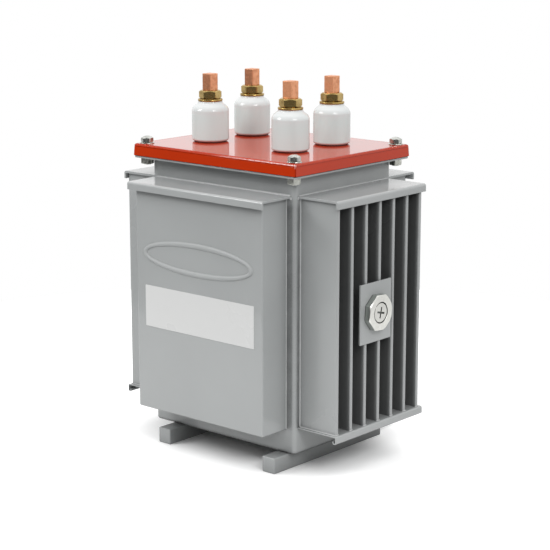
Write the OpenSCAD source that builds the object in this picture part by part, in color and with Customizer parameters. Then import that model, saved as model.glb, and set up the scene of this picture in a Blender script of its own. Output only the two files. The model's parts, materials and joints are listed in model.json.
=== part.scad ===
// Small oil-filled power transformer on two skid bars, with a folded pan lid,
// four porcelain bushings, two closed side boxes and two finned radiators.
// Millimetres. +Z is up, the front box faces -Y and the plugged radiator +X.

/* [Tank] */
// Outside width of the tank, across the front
tank_x = 404; // [340:1:520]
// Outside depth of the tank, front to back
tank_y = 316; // [260:1:420]
// Height from the tank's underside to the seat of its flange
tank_h = 587.5; // [450:0.5:800]
// Thickness of the tank's sheet
tank_wall = 5; // [3:0.5:8]
// Radius of the tank's upright corners
tank_corner_r = 9; // [8:1:20]
// Radius where the walls turn into the floor
floor_edge_r = 6; // [6:1:11]
// Thickness of the flange round the tank's mouth
flange_t = 4; // [3:0.5:8]
// How far the flange stays inside the edge of the lid
flange_inset = 2.5; // [1:0.5:6]

/* [Lid] */
// Width of the lid at its lower edge
lid_x = 458; // [440:1:560]
// Depth of the lid at its lower edge
lid_y = 378; // [360:1:460]
// Height of the folded pan
lid_h = 25; // [18:0.5:40]
// Thickness of the lid's sheet
lid_t = 4; // [2:0.5:6]
// How much narrower each side is at the top of the skirt
lid_draft = 1.4; // [0.5:0.1:3]
// Radius of the fold along the top
lid_fold_r = 4; // [2:0.5:6]
// Thickness of the gasket under the skirt
gasket_t = 1.5; // [1:0.5:4]
// How far the gasket stays inside the edge of the lid
gasket_inset = 1.8; // [1:0.1:3]

/* [Lid bolts] */
// Diameter of the bolts
bolt_d = 16; // [10:1:20]
// Distance from the lid's side edges to the bolts
bolt_inset_x = 21.5; // [18:0.5:22]
// Distance from the lid's front and back edges to the bolts
bolt_inset_y = 21.5; // [19:0.5:23]
// Width across the flats of the heads
bolt_af = 24; // [18:0.5:26]
// How far the heads are turned about their axis
bolt_turn = -19; // [-30:1:30]
// Height of the heads
bolt_head_h = 14; // [8:0.5:14]
// Radius of the domed top of the heads
bolt_dome_r = 20; // [17:1:40]
// Diameter of the washers under the heads
bolt_washer_d = 31; // [28:0.5:34]
// Thickness of those washers
bolt_washer_t = 2.5; // [1.5:0.5:4]
// Width across the flats of the nuts under the flange
bolt_nut_af = 25; // [18:0.5:26]
// Height of those nuts
bolt_nut_h = 13; // [8:0.5:16]
// Width of the bevel round the nuts, at their corners
bolt_nut_ease = 1.2; // [0.6:0.2:2]
// How far the bolts stand out below their nuts
bolt_tail = 2; // [1:0.5:10]
// Room round a bolt or stud in its hole, on the diameter
hole_play = 1.5; // [0.6:0.1:3]
// Room between a thread and its nut, on the diameter
thread_play = 0.4; // [0.2:0.1:0.6]

/* [Skids] */
// Width of each skid bar
skid_w = 34; // [24:1:60]
// Height of each skid bar
skid_h = 34; // [24:1:60]
// Radius along the edges of the skids
skid_edge_r = 2.5; // [1:0.5:5]
// Distance between the middles of the two skids
skid_spacing = 302; // [240:1:330]
// How far the pair lies to the right of the tank's middle
skid_shift = 16; // [0:1:20]
// How far the skids stand out in front of the tank
skid_front = 43; // [10:1:80]
// How far the skids stand out behind the tank
skid_back = 1; // [0:1:80]

/* [Side boxes] */
// Width of the front and back boxes
box_w = 358; // [280:1:370]
// How far the front box stands out from the tank
front_box_depth = 74.5; // [50:0.5:120]
// How far the back box stands out from the tank
back_box_depth = 87; // [50:0.5:120]
// Height of the boxes' underside above the tank's underside
box_rise = 52; // [30:1:90]
// Thickness of the boxes' sheet
box_wall = 3; // [2:0.5:5]
// Radius of the boxes' upright folds
box_fold_r = 4; // [4:0.5:8]
// How far the box caps hang out at each end
box_cap_side = 11.5; // [5:0.5:16]
// How far the box caps hang out in front
box_cap_front = 14; // [6:0.5:24]

/* [Caps and trays] */
// Distance from the flange's seat down to the top of the caps
cap_drop = 41; // [30:1:70]
// Thickness of the cap and tray sheet
cap_t = 2.5; // [1.5:0.5:4]
// Height of the turned-down lip on the caps
cap_lip = 17; // [12:0.5:26]
// Outside radius of the folds in the caps and trays
cap_fold_r = 4; // [3:0.5:6]
// Height of the turned-down lip on the trays
tray_lip = 17; // [15:0.5:28]
// Outside radius of the lip's curled lower edge
tray_curl_r = 4.5; // [4:0.5:6]
// Length of the curled edge's upright return
tray_return = 2; // [1:0.5:4]

/* [Radiators] */
// Number of fins in each bank
fin_count = 7; // [5:1:9]
// Distance from fin to fin
fin_pitch = 45.5; // [26:0.5:46]
// Thickness of each hollow fin panel
fin_t = 9; // [6:0.5:12]
// How far the right radiator's fins stand out from the tank
right_fin_depth = 96.5; // [60:0.5:140]
// How far the left radiator's fins stand out from the tank
left_fin_depth = 93; // [60:0.5:140]
// Radius along the fins' outer edges
fin_edge_r = 3; // [1:0.5:3]
// Height of the fins' feet above the tank's underside
fin_rise = 59; // [30:1:90]
// How far the radiator caps and trays hang out past the fins' edges
rad_cap_front = 5.5; // [5:0.5:12]
// How far the radiator caps and trays hang out at each end
rad_cap_side = 7; // [3:0.5:16]

/* [Plug] */
// Width of the plug's plate
plug_plate_w = 103; // [90:1:130]
// Height of the plug's plate
plug_plate_h = 127; // [90:1:160]
// Thickness of the plug's plate
plug_plate_t = 4; // [2:0.5:6]
// Place of the plug along the fins, from the middle of the bank
plug_y = -18; // [-30:1:10]
// Height of the plug's middle above the tank's underside
plug_rise = 299; // [200:1:400]
// Width across the flats of the eight-sided nut
plug_nut_af = 74; // [60:1:84]
// Thickness of the eight-sided nut
plug_nut_t = 14; // [8:0.5:20]
// Width of the bevel round the nut's face
plug_nut_bevel = 1.5; // [0.5:0.5:3]
// Diameter of the disc in the nut
plug_disc_d = 43; // [30:0.5:50]
// Width of the groove round the disc
plug_groove = 1.2; // [0.6:0.1:2]
// Depth of the recess that holds the disc
plug_recess = 7; // [4:0.5:7]
// How far the disc lies below the nut's face
plug_disc_sink = 0.8; // [0:0.1:2]
// Length of each arm of the cross in the disc
plug_cross_l = 17; // [10:0.5:24]
// Width of the cross's arms
plug_cross_w = 3; // [2:0.5:5]
// Depth of the cross
plug_cross_depth = 2.5; // [1:0.5:3]

/* [Bushings] */
// Distance between the left and right bushings
bushing_dx = 228; // [180:1:250]
// Distance between the front and back bushings
bushing_dy = 136; // [100:1:180]
// How far the group lies to the right of the lid's middle
bushing_shift_x = -17; // [-20:1:20]
// How far the group lies behind the lid's middle
bushing_shift_y = 18; // [-20:1:20]
// Diameter of the porcelain body
bushing_d = 80; // [66:0.5:90]
// Height of the porcelain
bushing_h = 85; // [80:1:110]
// Height at which the shoulder starts
shoulder_z = 66; // [40:1:66]
// Radius of the shoulder
shoulder_r = 11; // [8:0.5:14]
// Angle that the shoulder turns through before it runs straight
shoulder_turn = 50; // [40:1:60]
// Diameter of the neck
neck_d = 53; // [44:0.5:54]
// Radius at the foot of the porcelain
foot_r = 5; // [2:0.5:8]
// Thickness of the seal under the porcelain
seal_t = 1.5; // [1:0.5:3]
// Diameter of the brass washer
brass_washer_d = 53.5; // [48:0.5:56]
// Thickness of the brass washer
brass_washer_t = 5.5; // [3:0.5:8]
// Width across the flats of the brass nut
brass_nut_af = 43; // [36:0.5:46]
// Height of the brass nut
brass_nut_h = 18; // [12:0.5:24]
// Width of the bevel round the brass nut, at its corners
brass_nut_ease = 4.4; // [2:0.2:5]
// How far the brass nut is turned about its axis
brass_nut_turn = -19; // [-30:1:30]
// Side of the square copper bar
terminal_side = 24.2; // [18:0.1:25]
// Height of the copper bar above its nut
terminal_h = 36; // [20:1:60]
// Radius of the bar's edges
terminal_edge_r = 1.8; // [1:0.1:3]
// Diameter of the round stud below the bar
stud_d = 24; // [16:0.5:26]
// How far the stud reaches below the lid's sheet
stud_below = 40; // [10:1:80]

/* [Hidden] */

grey_paint = "#A9ADAE";
red_paint = "#B8381A";
porcelain = "#ECEBE8";
brass = "#B08D3C";
copper = "#C8825F";
zinc = "#C5C7C4";
rubber = "#2B2B2C";

// Resolution of round shapes, and of the blended ones
round_fn = 96;
blend_fn = 32;
// Overlap that keeps cuts clean
eps = 0.5;

// Heights of the main seats above the floor
tank_z = skid_h;
flange_z = tank_z + tank_h;
gasket_z = flange_z + flange_t;
lid_z = gasket_z + gasket_t;
lid_top = lid_z + lid_h;
cap_z = flange_z - cap_drop;
box_z = tank_z + box_rise;
fin_z = tank_z + fin_rise;
fin_h = cap_z - cap_t - fin_z;

// Depths of the caps, and the width of a fin bank
front_cap_depth = front_box_depth + box_cap_front;
back_cap_depth = back_box_depth + box_cap_front;
right_rad_depth = right_fin_depth + rad_cap_front;
left_rad_depth = left_fin_depth + rad_cap_front;
bank_w = fin_pitch * (fin_count - 1) + fin_t;

// Seats on each bushing's axis, above the lid
bushing_z = lid_top + seal_t;
washer_z = bushing_z + bushing_h;
brass_nut_z = washer_z + brass_washer_t;
terminal_z = brass_nut_z + brass_nut_h;
stud_hole_d = stud_d + hole_play;

// Distances of the bolts from the middle of the lid
bolt_x = lid_x / 2 - bolt_inset_x;
bolt_y = lid_y / 2 - bolt_inset_y;
bolt_hole_d = bolt_d + hole_play;

// The origin is under the middle of the whole object's outline
plug_reach = right_fin_depth + plug_plate_t + plug_nut_t;
right_reach = max(lid_x / 2, tank_x / 2 + max(right_rad_depth, plug_reach));
left_reach = max(lid_x / 2, tank_x / 2 + left_rad_depth);
front_reach = max(lid_y / 2, tank_y / 2 + max(front_cap_depth, skid_front));
back_reach = max(lid_y / 2, tank_y / 2 + max(back_cap_depth, skid_back));
frame_x = (left_reach - right_reach) / 2;
frame_y = (front_reach - back_reach) / 2;

$fn = round_fn;

// Carries a shape from the tank's middle to the object's origin
module in_frame() {
    translate([frame_x, frame_y, 0]) children();
}

// Rectangle about the middle, with round corners
module round_rect(w, d, r) {
    square([w - 2 * r, d], center = true);
    square([w, d - 2 * r], center = true);
    for (sx = [-1, 1], sy = [-1, 1])
        translate([sx * (w / 2 - r), sy * (d / 2 - r)]) circle(r);
}

// Copies a shape to the four corners of a rectangle
module at_corners(dx, dy) {
    for (sx = [-1, 1], sy = [-1, 1]) translate([sx * dx, sy * dy, 0]) children();
}

// Stands a shape on the front, right, back or left wall: local +X runs out of the wall
module on_front() translate([0, -tank_y / 2, 0]) rotate(-90) children();
module on_right() translate([tank_x / 2, 0, 0]) children();
module on_back() translate([0, tank_y / 2, 0]) rotate(90) children();
module on_left() translate([-tank_x / 2, 0, 0]) rotate(180) children();

// Extrudes an upright section, drawn with x outward and y up, along the wall
module along_wall(w) {
    translate([0, w / 2, 0]) rotate([90, 0, 0]) linear_extrude(w) children();
}

// Straight-sided prism across flats with both rims eased by a cone
module eased_nut(af, h, sides, bore_d, ease) {
    corner_r = af / 2 / cos(180 / sides);
    difference() {
        intersection() {
            cylinder(r = corner_r, h = h, $fn = sides);
            union() {
                cylinder(r1 = corner_r - ease, r2 = corner_r + eps, h = (ease + eps) / 2);
                translate([0, 0, (ease + eps) / 2])
                    cylinder(r = corner_r + eps, h = h - ease - eps);
                translate([0, 0, h - (ease + eps) / 2])
                    cylinder(r1 = corner_r + eps, r2 = corner_r - ease, h = (ease + eps) / 2);
            }
        }
        translate([0, 0, -eps]) cylinder(d = bore_d, h = h + 2 * eps);
    }
}

// Tank

module tank_shell() {
    color(grey_paint) in_frame()
        translate([0, 0, tank_z + floor_edge_r]) linear_extrude(tank_h - floor_edge_r)
            difference() {
                round_rect(tank_x, tank_y, tank_corner_r);
                round_rect(tank_x - 2 * tank_wall, tank_y - 2 * tank_wall, tank_corner_r - tank_wall);
            }
}

// Block with a rounded lower rim, open above, used for the dish and its inside
module dish_block(inset) {
    r = max(1, min(floor_edge_r, tank_corner_r) - inset);
    corner = tank_corner_r - inset;
    hull() {
        for (sx = [-1, 1], sy = [-1, 1])
            translate([sx * (tank_x / 2 - tank_corner_r), sy * (tank_y / 2 - tank_corner_r), inset + r])
                rotate_extrude($fn = blend_fn) {
                    square([corner, floor_edge_r - inset - r + (inset > 0 ? eps : 0)]);
                    intersection() {
                        translate([corner - r, 0]) circle(r, $fn = blend_fn);
                        translate([0, -r]) square([corner, r]);
                    }
                    translate([0, -r]) square([corner - r, r]);
                }
    }
}

module tank_floor() {
    color(grey_paint) in_frame() translate([0, 0, tank_z]) difference() {
        dish_block(0);
        dish_block(tank_wall);
    }
}

module tank_flange() {
    color(grey_paint) in_frame() translate([0, 0, flange_z]) linear_extrude(flange_t) difference() {
        square([lid_x - 2 * flange_inset, lid_y - 2 * flange_inset], center = true);
        round_rect(tank_x - 2 * tank_wall, tank_y - 2 * tank_wall, tank_corner_r - tank_wall);
        at_corners(bolt_x, bolt_y) circle(d = bolt_hole_d);
    }
}

// Lid

module lid_gasket() {
    color(rubber) in_frame() translate([0, 0, gasket_z]) linear_extrude(gasket_t) difference() {
        square([lid_x - 2 * gasket_inset, lid_y - 2 * gasket_inset], center = true);
        round_rect(tank_x - 2 * tank_wall, tank_y - 2 * tank_wall, tank_corner_r - tank_wall);
        at_corners(bolt_x, bolt_y) circle(d = bolt_hole_d);
    }
}

// Four-sided block that narrows upward, with a rounded top rim
module pan_block(inset, h, fold_r) {
    w = lid_x / 2 - inset;
    d = lid_y / 2 - inset;
    hull() {
        for (sx = [-1, 1], sy = [-1, 1]) {
            translate([sx * (w - fold_r), sy * (d - fold_r), 0])
                cylinder(r = fold_r, h = eps, $fn = blend_fn);
            translate([sx * (w - lid_draft - fold_r), sy * (d - lid_draft - fold_r), h - fold_r])
                sphere(r = fold_r, $fn = blend_fn);
        }
    }
}

module lid() {
    color(red_paint) in_frame() translate([0, 0, lid_z]) difference() {
        pan_block(0, lid_h, lid_fold_r);
        translate([0, 0, -eps]) pan_block(lid_t, lid_h - lid_t + eps, 1);
        at_corners(bolt_x, bolt_y) cylinder(d = bolt_hole_d, h = lid_h + eps);
        at_bushings() cylinder(d = stud_hole_d, h = lid_h + eps);
    }
}

module lid_bolts() {
    shank = bolt_washer_t + lid_h + gasket_t + flange_t + bolt_nut_h + bolt_tail;
    color(zinc) in_frame() at_corners(bolt_x, bolt_y) translate([0, 0, lid_top + bolt_washer_t]) {
        translate([0, 0, -shank]) cylinder(d = bolt_d, h = shank + bolt_head_h / 2);
        intersection() {
            rotate(bolt_turn) cylinder(r = bolt_af / 2 / cos(30), h = bolt_head_h, $fn = 6);
            translate([0, 0, bolt_head_h - bolt_dome_r]) sphere(r = bolt_dome_r);
        }
    }
}

module lid_washers() {
    color(zinc) in_frame() at_corners(bolt_x, bolt_y) translate([0, 0, lid_top])
        linear_extrude(bolt_washer_t) difference() {
            circle(d = bolt_washer_d);
            circle(d = bolt_hole_d);
        }
}

module lid_nuts() {
    color(zinc) in_frame() at_corners(bolt_x, bolt_y) translate([0, 0, flange_z - bolt_nut_h])
        eased_nut(bolt_nut_af, bolt_nut_h, 6, bolt_d + thread_play, bolt_nut_ease);
}

// Skids

module skid(side) {
    x = skid_shift + side * skid_spacing / 2;
    color(grey_paint) in_frame() translate([x, tank_y / 2 + skid_back, skid_h / 2]) rotate([90, 0, 0])
        linear_extrude(tank_y + skid_front + skid_back) round_rect(skid_w, skid_h, skid_edge_r);
}

module left_skid() skid(-1);
module right_skid() skid(1);

// Side boxes

// Folded cover in plan: x runs out from the wall
module box_plan(w, depth, fold_r) {
    translate([0, -w / 2]) square([depth - fold_r, w]);
    translate([0, fold_r - w / 2]) square([depth, w - 2 * fold_r]);
    for (side = [-1, 1]) translate([depth - fold_r, side * (w / 2 - fold_r)]) circle(fold_r);
}

module folded_box(depth) {
    h = cap_z - cap_t - box_z;
    color(grey_paint) translate([0, 0, box_z]) {
        linear_extrude(h) difference() {
            box_plan(box_w, depth, box_fold_r);
            translate([-eps, 0])
                box_plan(box_w - 2 * box_wall, depth - box_wall + eps, box_fold_r - box_wall);
        }
        linear_extrude(box_wall) box_plan(box_w, depth, box_fold_r);
    }
}

// Sheet with its outer edge folded down, in section
module lipped_sheet(depth, lip) {
    translate([0, -cap_t]) square([depth - cap_fold_r, cap_t]);
    translate([depth - cap_t, -lip]) square([cap_t, lip - cap_fold_r]);
    translate([depth - cap_fold_r, -cap_fold_r]) intersection() {
        difference() {
            circle(cap_fold_r);
            circle(cap_fold_r - cap_t);
        }
        square(cap_fold_r);
    }
}

module cap(depth, w) {
    color(grey_paint) translate([0, 0, cap_z]) along_wall(w) lipped_sheet(depth, cap_lip);
}

module front_box() in_frame() on_front() folded_box(front_box_depth);
module back_box() in_frame() on_back() folded_box(back_box_depth);
module front_box_cap() in_frame() on_front() cap(front_cap_depth, box_w + 2 * box_cap_side);
module back_box_cap() in_frame() on_back() cap(back_cap_depth, box_w + 2 * box_cap_side);

// Radiators

// One fin in plan, with a rounded outer edge
module fin_plan(depth) {
    translate([0, -fin_t / 2]) square([depth - fin_edge_r, fin_t]);
    translate([0, fin_edge_r - fin_t / 2]) square([depth, fin_t - 2 * fin_edge_r]);
    for (side = [-1, 1])
        translate([depth - fin_edge_r, side * (fin_t / 2 - fin_edge_r)]) circle(fin_edge_r);
}

module fin_bank(depth) {
    color(grey_paint) translate([0, 0, fin_z]) linear_extrude(fin_h)
        for (i = [0 : fin_count - 1])
            translate([0, (i - (fin_count - 1) / 2) * fin_pitch]) fin_plan(depth);
}

// Lipped sheet whose lower edge curls back in and up
module curled_sheet(depth, lip) {
    lipped_sheet(depth, lip - tray_curl_r);
    translate([depth - tray_curl_r, -lip + tray_curl_r]) {
        intersection() {
            difference() {
                circle(tray_curl_r);
                circle(tray_curl_r - cap_t);
            }
            translate([-tray_curl_r, -tray_curl_r]) square([2 * tray_curl_r, tray_curl_r]);
        }
        translate([-tray_curl_r, 0]) square([cap_t, tray_return]);
    }
}

module tray(depth) {
    color(grey_paint) translate([0, 0, fin_z])
        along_wall(bank_w + 2 * rad_cap_side) curled_sheet(depth, tray_lip);
}

module radiator_cap(depth) cap(depth, bank_w + 2 * rad_cap_side);

module right_radiator_fins() in_frame() on_right() fin_bank(right_fin_depth);
module right_radiator_cap() in_frame() on_right() radiator_cap(right_rad_depth);
module right_radiator_tray() in_frame() on_right() tray(right_rad_depth);
module left_radiator_fins() in_frame() on_left() fin_bank(left_fin_depth);
module left_radiator_cap() in_frame() on_left() radiator_cap(left_rad_depth);
module left_radiator_tray() in_frame() on_left() tray(left_rad_depth);

// Plug on the right radiator: local +Z runs out of the fins

module on_plug() {
    in_frame() translate([tank_x / 2 + right_fin_depth, plug_y, tank_z + plug_rise])
        rotate([0, 90, 0]) children();
}

module plug_plate() {
    color(grey_paint) on_plug() linear_extrude(plug_plate_t)
        round_rect(plug_plate_h, plug_plate_w, plug_plate_t / 2);
}

module plug_nut() {
    corner_r = plug_nut_af / 2 / cos(180 / 8);
    color(zinc) on_plug() translate([0, 0, plug_plate_t]) difference() {
        intersection() {
            rotate(180 / 8) cylinder(r = corner_r, h = plug_nut_t, $fn = 8);
            union() {
                cylinder(r = corner_r + eps, h = plug_nut_t - plug_nut_bevel);
                translate([0, 0, plug_nut_t - plug_nut_bevel])
                    cylinder(r1 = corner_r + eps, r2 = corner_r - plug_nut_bevel, h = plug_nut_bevel);
            }
        }
        translate([0, 0, plug_nut_t - plug_recess])
            cylinder(d = plug_disc_d + 2 * plug_groove, h = plug_recess + eps);
    }
}

module plug_disc() {
    disc_t = plug_recess - plug_disc_sink;
    color(zinc) on_plug() translate([0, 0, plug_plate_t + plug_nut_t - plug_recess]) difference() {
        cylinder(d = plug_disc_d, h = disc_t);
        translate([0, 0, disc_t - plug_cross_depth]) linear_extrude(plug_cross_depth + eps) {
            square([plug_cross_l, plug_cross_w], center = true);
            square([plug_cross_w, plug_cross_l], center = true);
        }
    }
}

// Bushings

// Middle of one bushing: side -1 is left and 1 right, row -1 is front and 1 back
module at_bushing(side, row) {
    x = bushing_shift_x + side * bushing_dx / 2;
    y = bushing_shift_y + row * bushing_dy / 2;
    translate([x, y, 0]) children();
}

module at_bushings() {
    for (side = [-1, 1], row = [-1, 1]) at_bushing(side, row) children();
}

// Half section of the porcelain: straight body, round shoulder, sloping run and neck
module porcelain_section() {
    r = bushing_d / 2;
    neck_r = neck_d / 2;
    turn_x = r - shoulder_r + shoulder_r * cos(shoulder_turn);
    turn_z = shoulder_z + shoulder_r * sin(shoulder_turn);
    run_z = turn_z + (turn_x - neck_r) / tan(shoulder_turn);
    difference() {
        union() {
            square([r - foot_r, foot_r]);
            translate([r - foot_r, foot_r]) intersection() {
                circle(foot_r);
                translate([-foot_r, -foot_r]) square([2 * foot_r, foot_r]);
            }
            translate([0, foot_r]) square([r, shoulder_z - foot_r]);
            intersection() {
                translate([r - shoulder_r, shoulder_z]) circle(shoulder_r);
                translate([0, shoulder_z - eps]) square([r, turn_z - shoulder_z + eps]);
            }
            polygon([
                [0, shoulder_z - eps], [r - shoulder_r, shoulder_z - eps], [turn_x, turn_z],
                [neck_r, run_z], [neck_r, bushing_h], [0, bushing_h]
            ]);
        }
        translate([0, -eps]) square([stud_hole_d / 2, bushing_h + 2 * eps]);
    }
}

module bushing(side, row) {
    color(porcelain) in_frame() at_bushing(side, row) translate([0, 0, bushing_z])
        rotate_extrude() porcelain_section();
}

module bushing_seals() {
    color(rubber) in_frame() at_bushings() translate([0, 0, lid_top]) linear_extrude(seal_t) difference() {
        circle(d = bushing_d - 2 * foot_r);
        circle(d = stud_hole_d);
    }
}

module brass_washer(side, row) {
    rim_r = brass_washer_t / 2;
    color(brass) in_frame() at_bushing(side, row) translate([0, 0, washer_z]) rotate_extrude() {
        translate([stud_hole_d / 2, 0])
            square([brass_washer_d / 2 - rim_r - stud_hole_d / 2, brass_washer_t]);
        translate([brass_washer_d / 2 - rim_r, rim_r]) intersection() {
            circle(rim_r);
            translate([0, -rim_r]) square([rim_r, 2 * rim_r]);
        }
    }
}

module brass_nut(side, row) {
    color(brass) in_frame() at_bushing(side, row) translate([0, 0, brass_nut_z])
        rotate(brass_nut_turn) eased_nut(brass_nut_af, brass_nut_h, 6, stud_d + thread_play, brass_nut_ease);
}

// Square bar with a round stud that runs down through its nut and bushing
module terminal(side, row) {
    stud_l = terminal_z - (lid_top - lid_t) + stud_below;
    half = terminal_side / 2 - terminal_edge_r;
    color(copper) in_frame() at_bushing(side, row) translate([0, 0, terminal_z]) {
        translate([0, 0, -stud_l]) cylinder(d = stud_d, h = stud_l + terminal_edge_r);
        hull() at_corners(half, half) {
            cylinder(r = terminal_edge_r, h = terminal_edge_r, $fn = blend_fn);
            translate([0, 0, terminal_h - terminal_edge_r]) sphere(r = terminal_edge_r, $fn = blend_fn);
        }
    }
}

module front_left_bushing() bushing(-1, -1);
module front_right_bushing() bushing(1, -1);
module back_left_bushing() bushing(-1, 1);
module back_right_bushing() bushing(1, 1);
module front_left_washer() brass_washer(-1, -1);
module front_right_washer() brass_washer(1, -1);
module back_left_washer() brass_washer(-1, 1);
module back_right_washer() brass_washer(1, 1);
module front_left_nut() brass_nut(-1, -1);
module front_right_nut() brass_nut(1, -1);
module back_left_nut() brass_nut(-1, 1);
module back_right_nut() brass_nut(1, 1);
module front_left_terminal() terminal(-1, -1);
module front_right_terminal() terminal(1, -1);
module back_left_terminal() terminal(-1, 1);
module back_right_terminal() terminal(1, 1);

tank_shell();
tank_floor();
tank_flange();
lid_gasket();
lid();
lid_bolts();
lid_washers();
lid_nuts();
left_skid();
right_skid();
front_box();
front_box_cap();
back_box();
back_box_cap();
right_radiator_fins();
right_radiator_cap();
right_radiator_tray();
left_radiator_fins();
left_radiator_cap();
left_radiator_tray();
plug_plate();
plug_nut();
plug_disc();
bushing_seals();
front_left_bushing();
front_right_bushing();
back_left_bushing();
back_right_bushing();
front_left_washer();
front_right_washer();
back_left_washer();
back_right_washer();
front_left_nut();
front_right_nut();
back_left_nut();
back_right_nut();
front_left_terminal();
front_right_terminal();
back_left_terminal();
back_right_terminal();
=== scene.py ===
"""Dressed model of a small oil-filled power transformer.

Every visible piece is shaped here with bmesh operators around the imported
solids, given a procedural finish and shown in a plain white studio.  Metres,
+Z up, the front box faces -Y and the plugged radiator faces +X.
"""

from __future__ import annotations

import json
import logging
import math
from collections.abc import Callable, Iterable, Sequence
from dataclasses import dataclass
from enum import Enum

import bmesh
import bpy
from mathutils import Matrix, Vector, noise

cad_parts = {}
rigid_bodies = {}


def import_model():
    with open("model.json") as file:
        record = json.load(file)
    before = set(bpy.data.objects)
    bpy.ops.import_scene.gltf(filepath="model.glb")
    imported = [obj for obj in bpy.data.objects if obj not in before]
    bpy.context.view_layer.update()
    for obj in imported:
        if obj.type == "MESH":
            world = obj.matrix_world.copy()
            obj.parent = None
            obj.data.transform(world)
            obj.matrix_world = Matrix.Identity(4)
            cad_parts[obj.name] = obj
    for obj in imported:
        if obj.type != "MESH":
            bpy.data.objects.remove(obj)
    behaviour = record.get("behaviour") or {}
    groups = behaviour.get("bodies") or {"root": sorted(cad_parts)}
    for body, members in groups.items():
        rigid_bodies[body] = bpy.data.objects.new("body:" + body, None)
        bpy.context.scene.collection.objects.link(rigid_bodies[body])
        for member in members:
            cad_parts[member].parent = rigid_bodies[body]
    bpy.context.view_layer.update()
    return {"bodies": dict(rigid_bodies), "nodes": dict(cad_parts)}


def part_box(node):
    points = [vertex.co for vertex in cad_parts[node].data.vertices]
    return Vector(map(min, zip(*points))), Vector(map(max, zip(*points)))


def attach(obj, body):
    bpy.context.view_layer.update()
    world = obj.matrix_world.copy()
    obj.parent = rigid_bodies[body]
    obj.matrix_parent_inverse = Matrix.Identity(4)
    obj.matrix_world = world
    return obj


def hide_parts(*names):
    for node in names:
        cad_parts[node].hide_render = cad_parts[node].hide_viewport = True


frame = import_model()

log = logging.getLogger("transformer")

Pair = tuple[float, float]
Triple = tuple[float, float, float]
Colour = Triple
Row = list[Vector]
Measure = float | list[float]
Edge = bmesh.types.BMEdge
Face = bmesh.types.BMFace
Socket = bpy.types.NodeSocket
Sockets = bpy.types.NodeOutputs
Surface = tuple[Socket, Socket, Socket]

BODY = "root"
ORIGIN = Vector((0.0, 0.0, 0.0))
UP = Vector((0.0, 0.0, 1.0))
TOUCH = 1e-5
LEVEL = 0.9
FOLD_STEPS = 6
FLAT_STEPS = 8
CORNER_STEPS = 8
EASE_STEPS = 10
RIM_EASE = 0.0006
ROD_SIDES = 12
DOME_TURNS = (math.pi / 2, 1.05, 0.5, 0.0)
RIPPLE_SCALE = 260.0
SPECKLE = 160.0
CREASE = 38.0
WELD_CREASE = 60.0


class Slot(Enum):
    """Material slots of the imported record."""

    GREY = "grey_paint"
    RED = "red_paint"
    PORCELAIN = "white_porcelain"
    BRASS = "brass"
    COPPER = "copper"
    ZINC = "zinc_steel"
    RUBBER = "black_rubber"


class Axis(Enum):
    """Axes by their place in a vector."""

    X = 0
    Y = 1
    Z = 2


class Wall(Enum):
    """Sides of the tank, each with the direction that runs out of it."""

    FRONT = (0.0, -1.0)
    RIGHT = (1.0, 0.0)
    BACK = (0.0, 1.0)
    LEFT = (-1.0, 0.0)

    @property
    def matrix(self) -> Matrix:
        """Turn from local out, along and up axes to the frame's own."""
        out_x, out_y = self.value
        return Matrix((
            (out_x, -out_y, 0.0, 0.0),
            (out_y, out_x, 0.0, 0.0),
            (0.0, 0.0, 1.0, 0.0),
            (0.0, 0.0, 0.0, 1.0),
        ))


@dataclass(frozen=True)
class Span:
    """Box between two corners."""

    lo: Vector
    hi: Vector

    @classmethod
    def of(cls, *nodes: str, wall: Wall | None = None) -> Span:
        """Box that holds some CAD nodes.

        Args:
            nodes: Names of the CAD nodes.
            wall: Side of the tank whose local axes the box is given in.

        Returns:
            The box, in the frame's axes or in the wall's.
        """
        turn = wall.matrix.inverted() if wall else Matrix.Identity(4)
        ends = [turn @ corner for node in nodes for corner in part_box(node)]
        lo = Vector([min(end[i] for end in ends) for i in range(3)])
        hi = Vector([max(end[i] for end in ends) for i in range(3)])
        return cls(lo, hi)

    @property
    def mid(self) -> Vector:
        """Middle of the box."""
        return (self.lo + self.hi) / 2

    @property
    def size(self) -> Vector:
        """Lengths of the box's sides."""
        return self.hi - self.lo


def corners(made: Iterable[object]) -> list[bmesh.types.BMVert]:
    """The points among the parts that an operator made."""
    return [item for item in made if isinstance(item, bmesh.types.BMVert)]


def lies_at(item: Edge | Face, axis: Axis, value: float) -> bool:
    """Whether an edge or a face lies at one value of an axis."""
    return all(abs(vert.co[axis.value] - value) < TOUCH for vert in item.verts)


def is_fold(edge: Edge) -> bool:
    """Whether an edge lies between two faces."""
    return len(edge.link_faces) == 2


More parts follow.
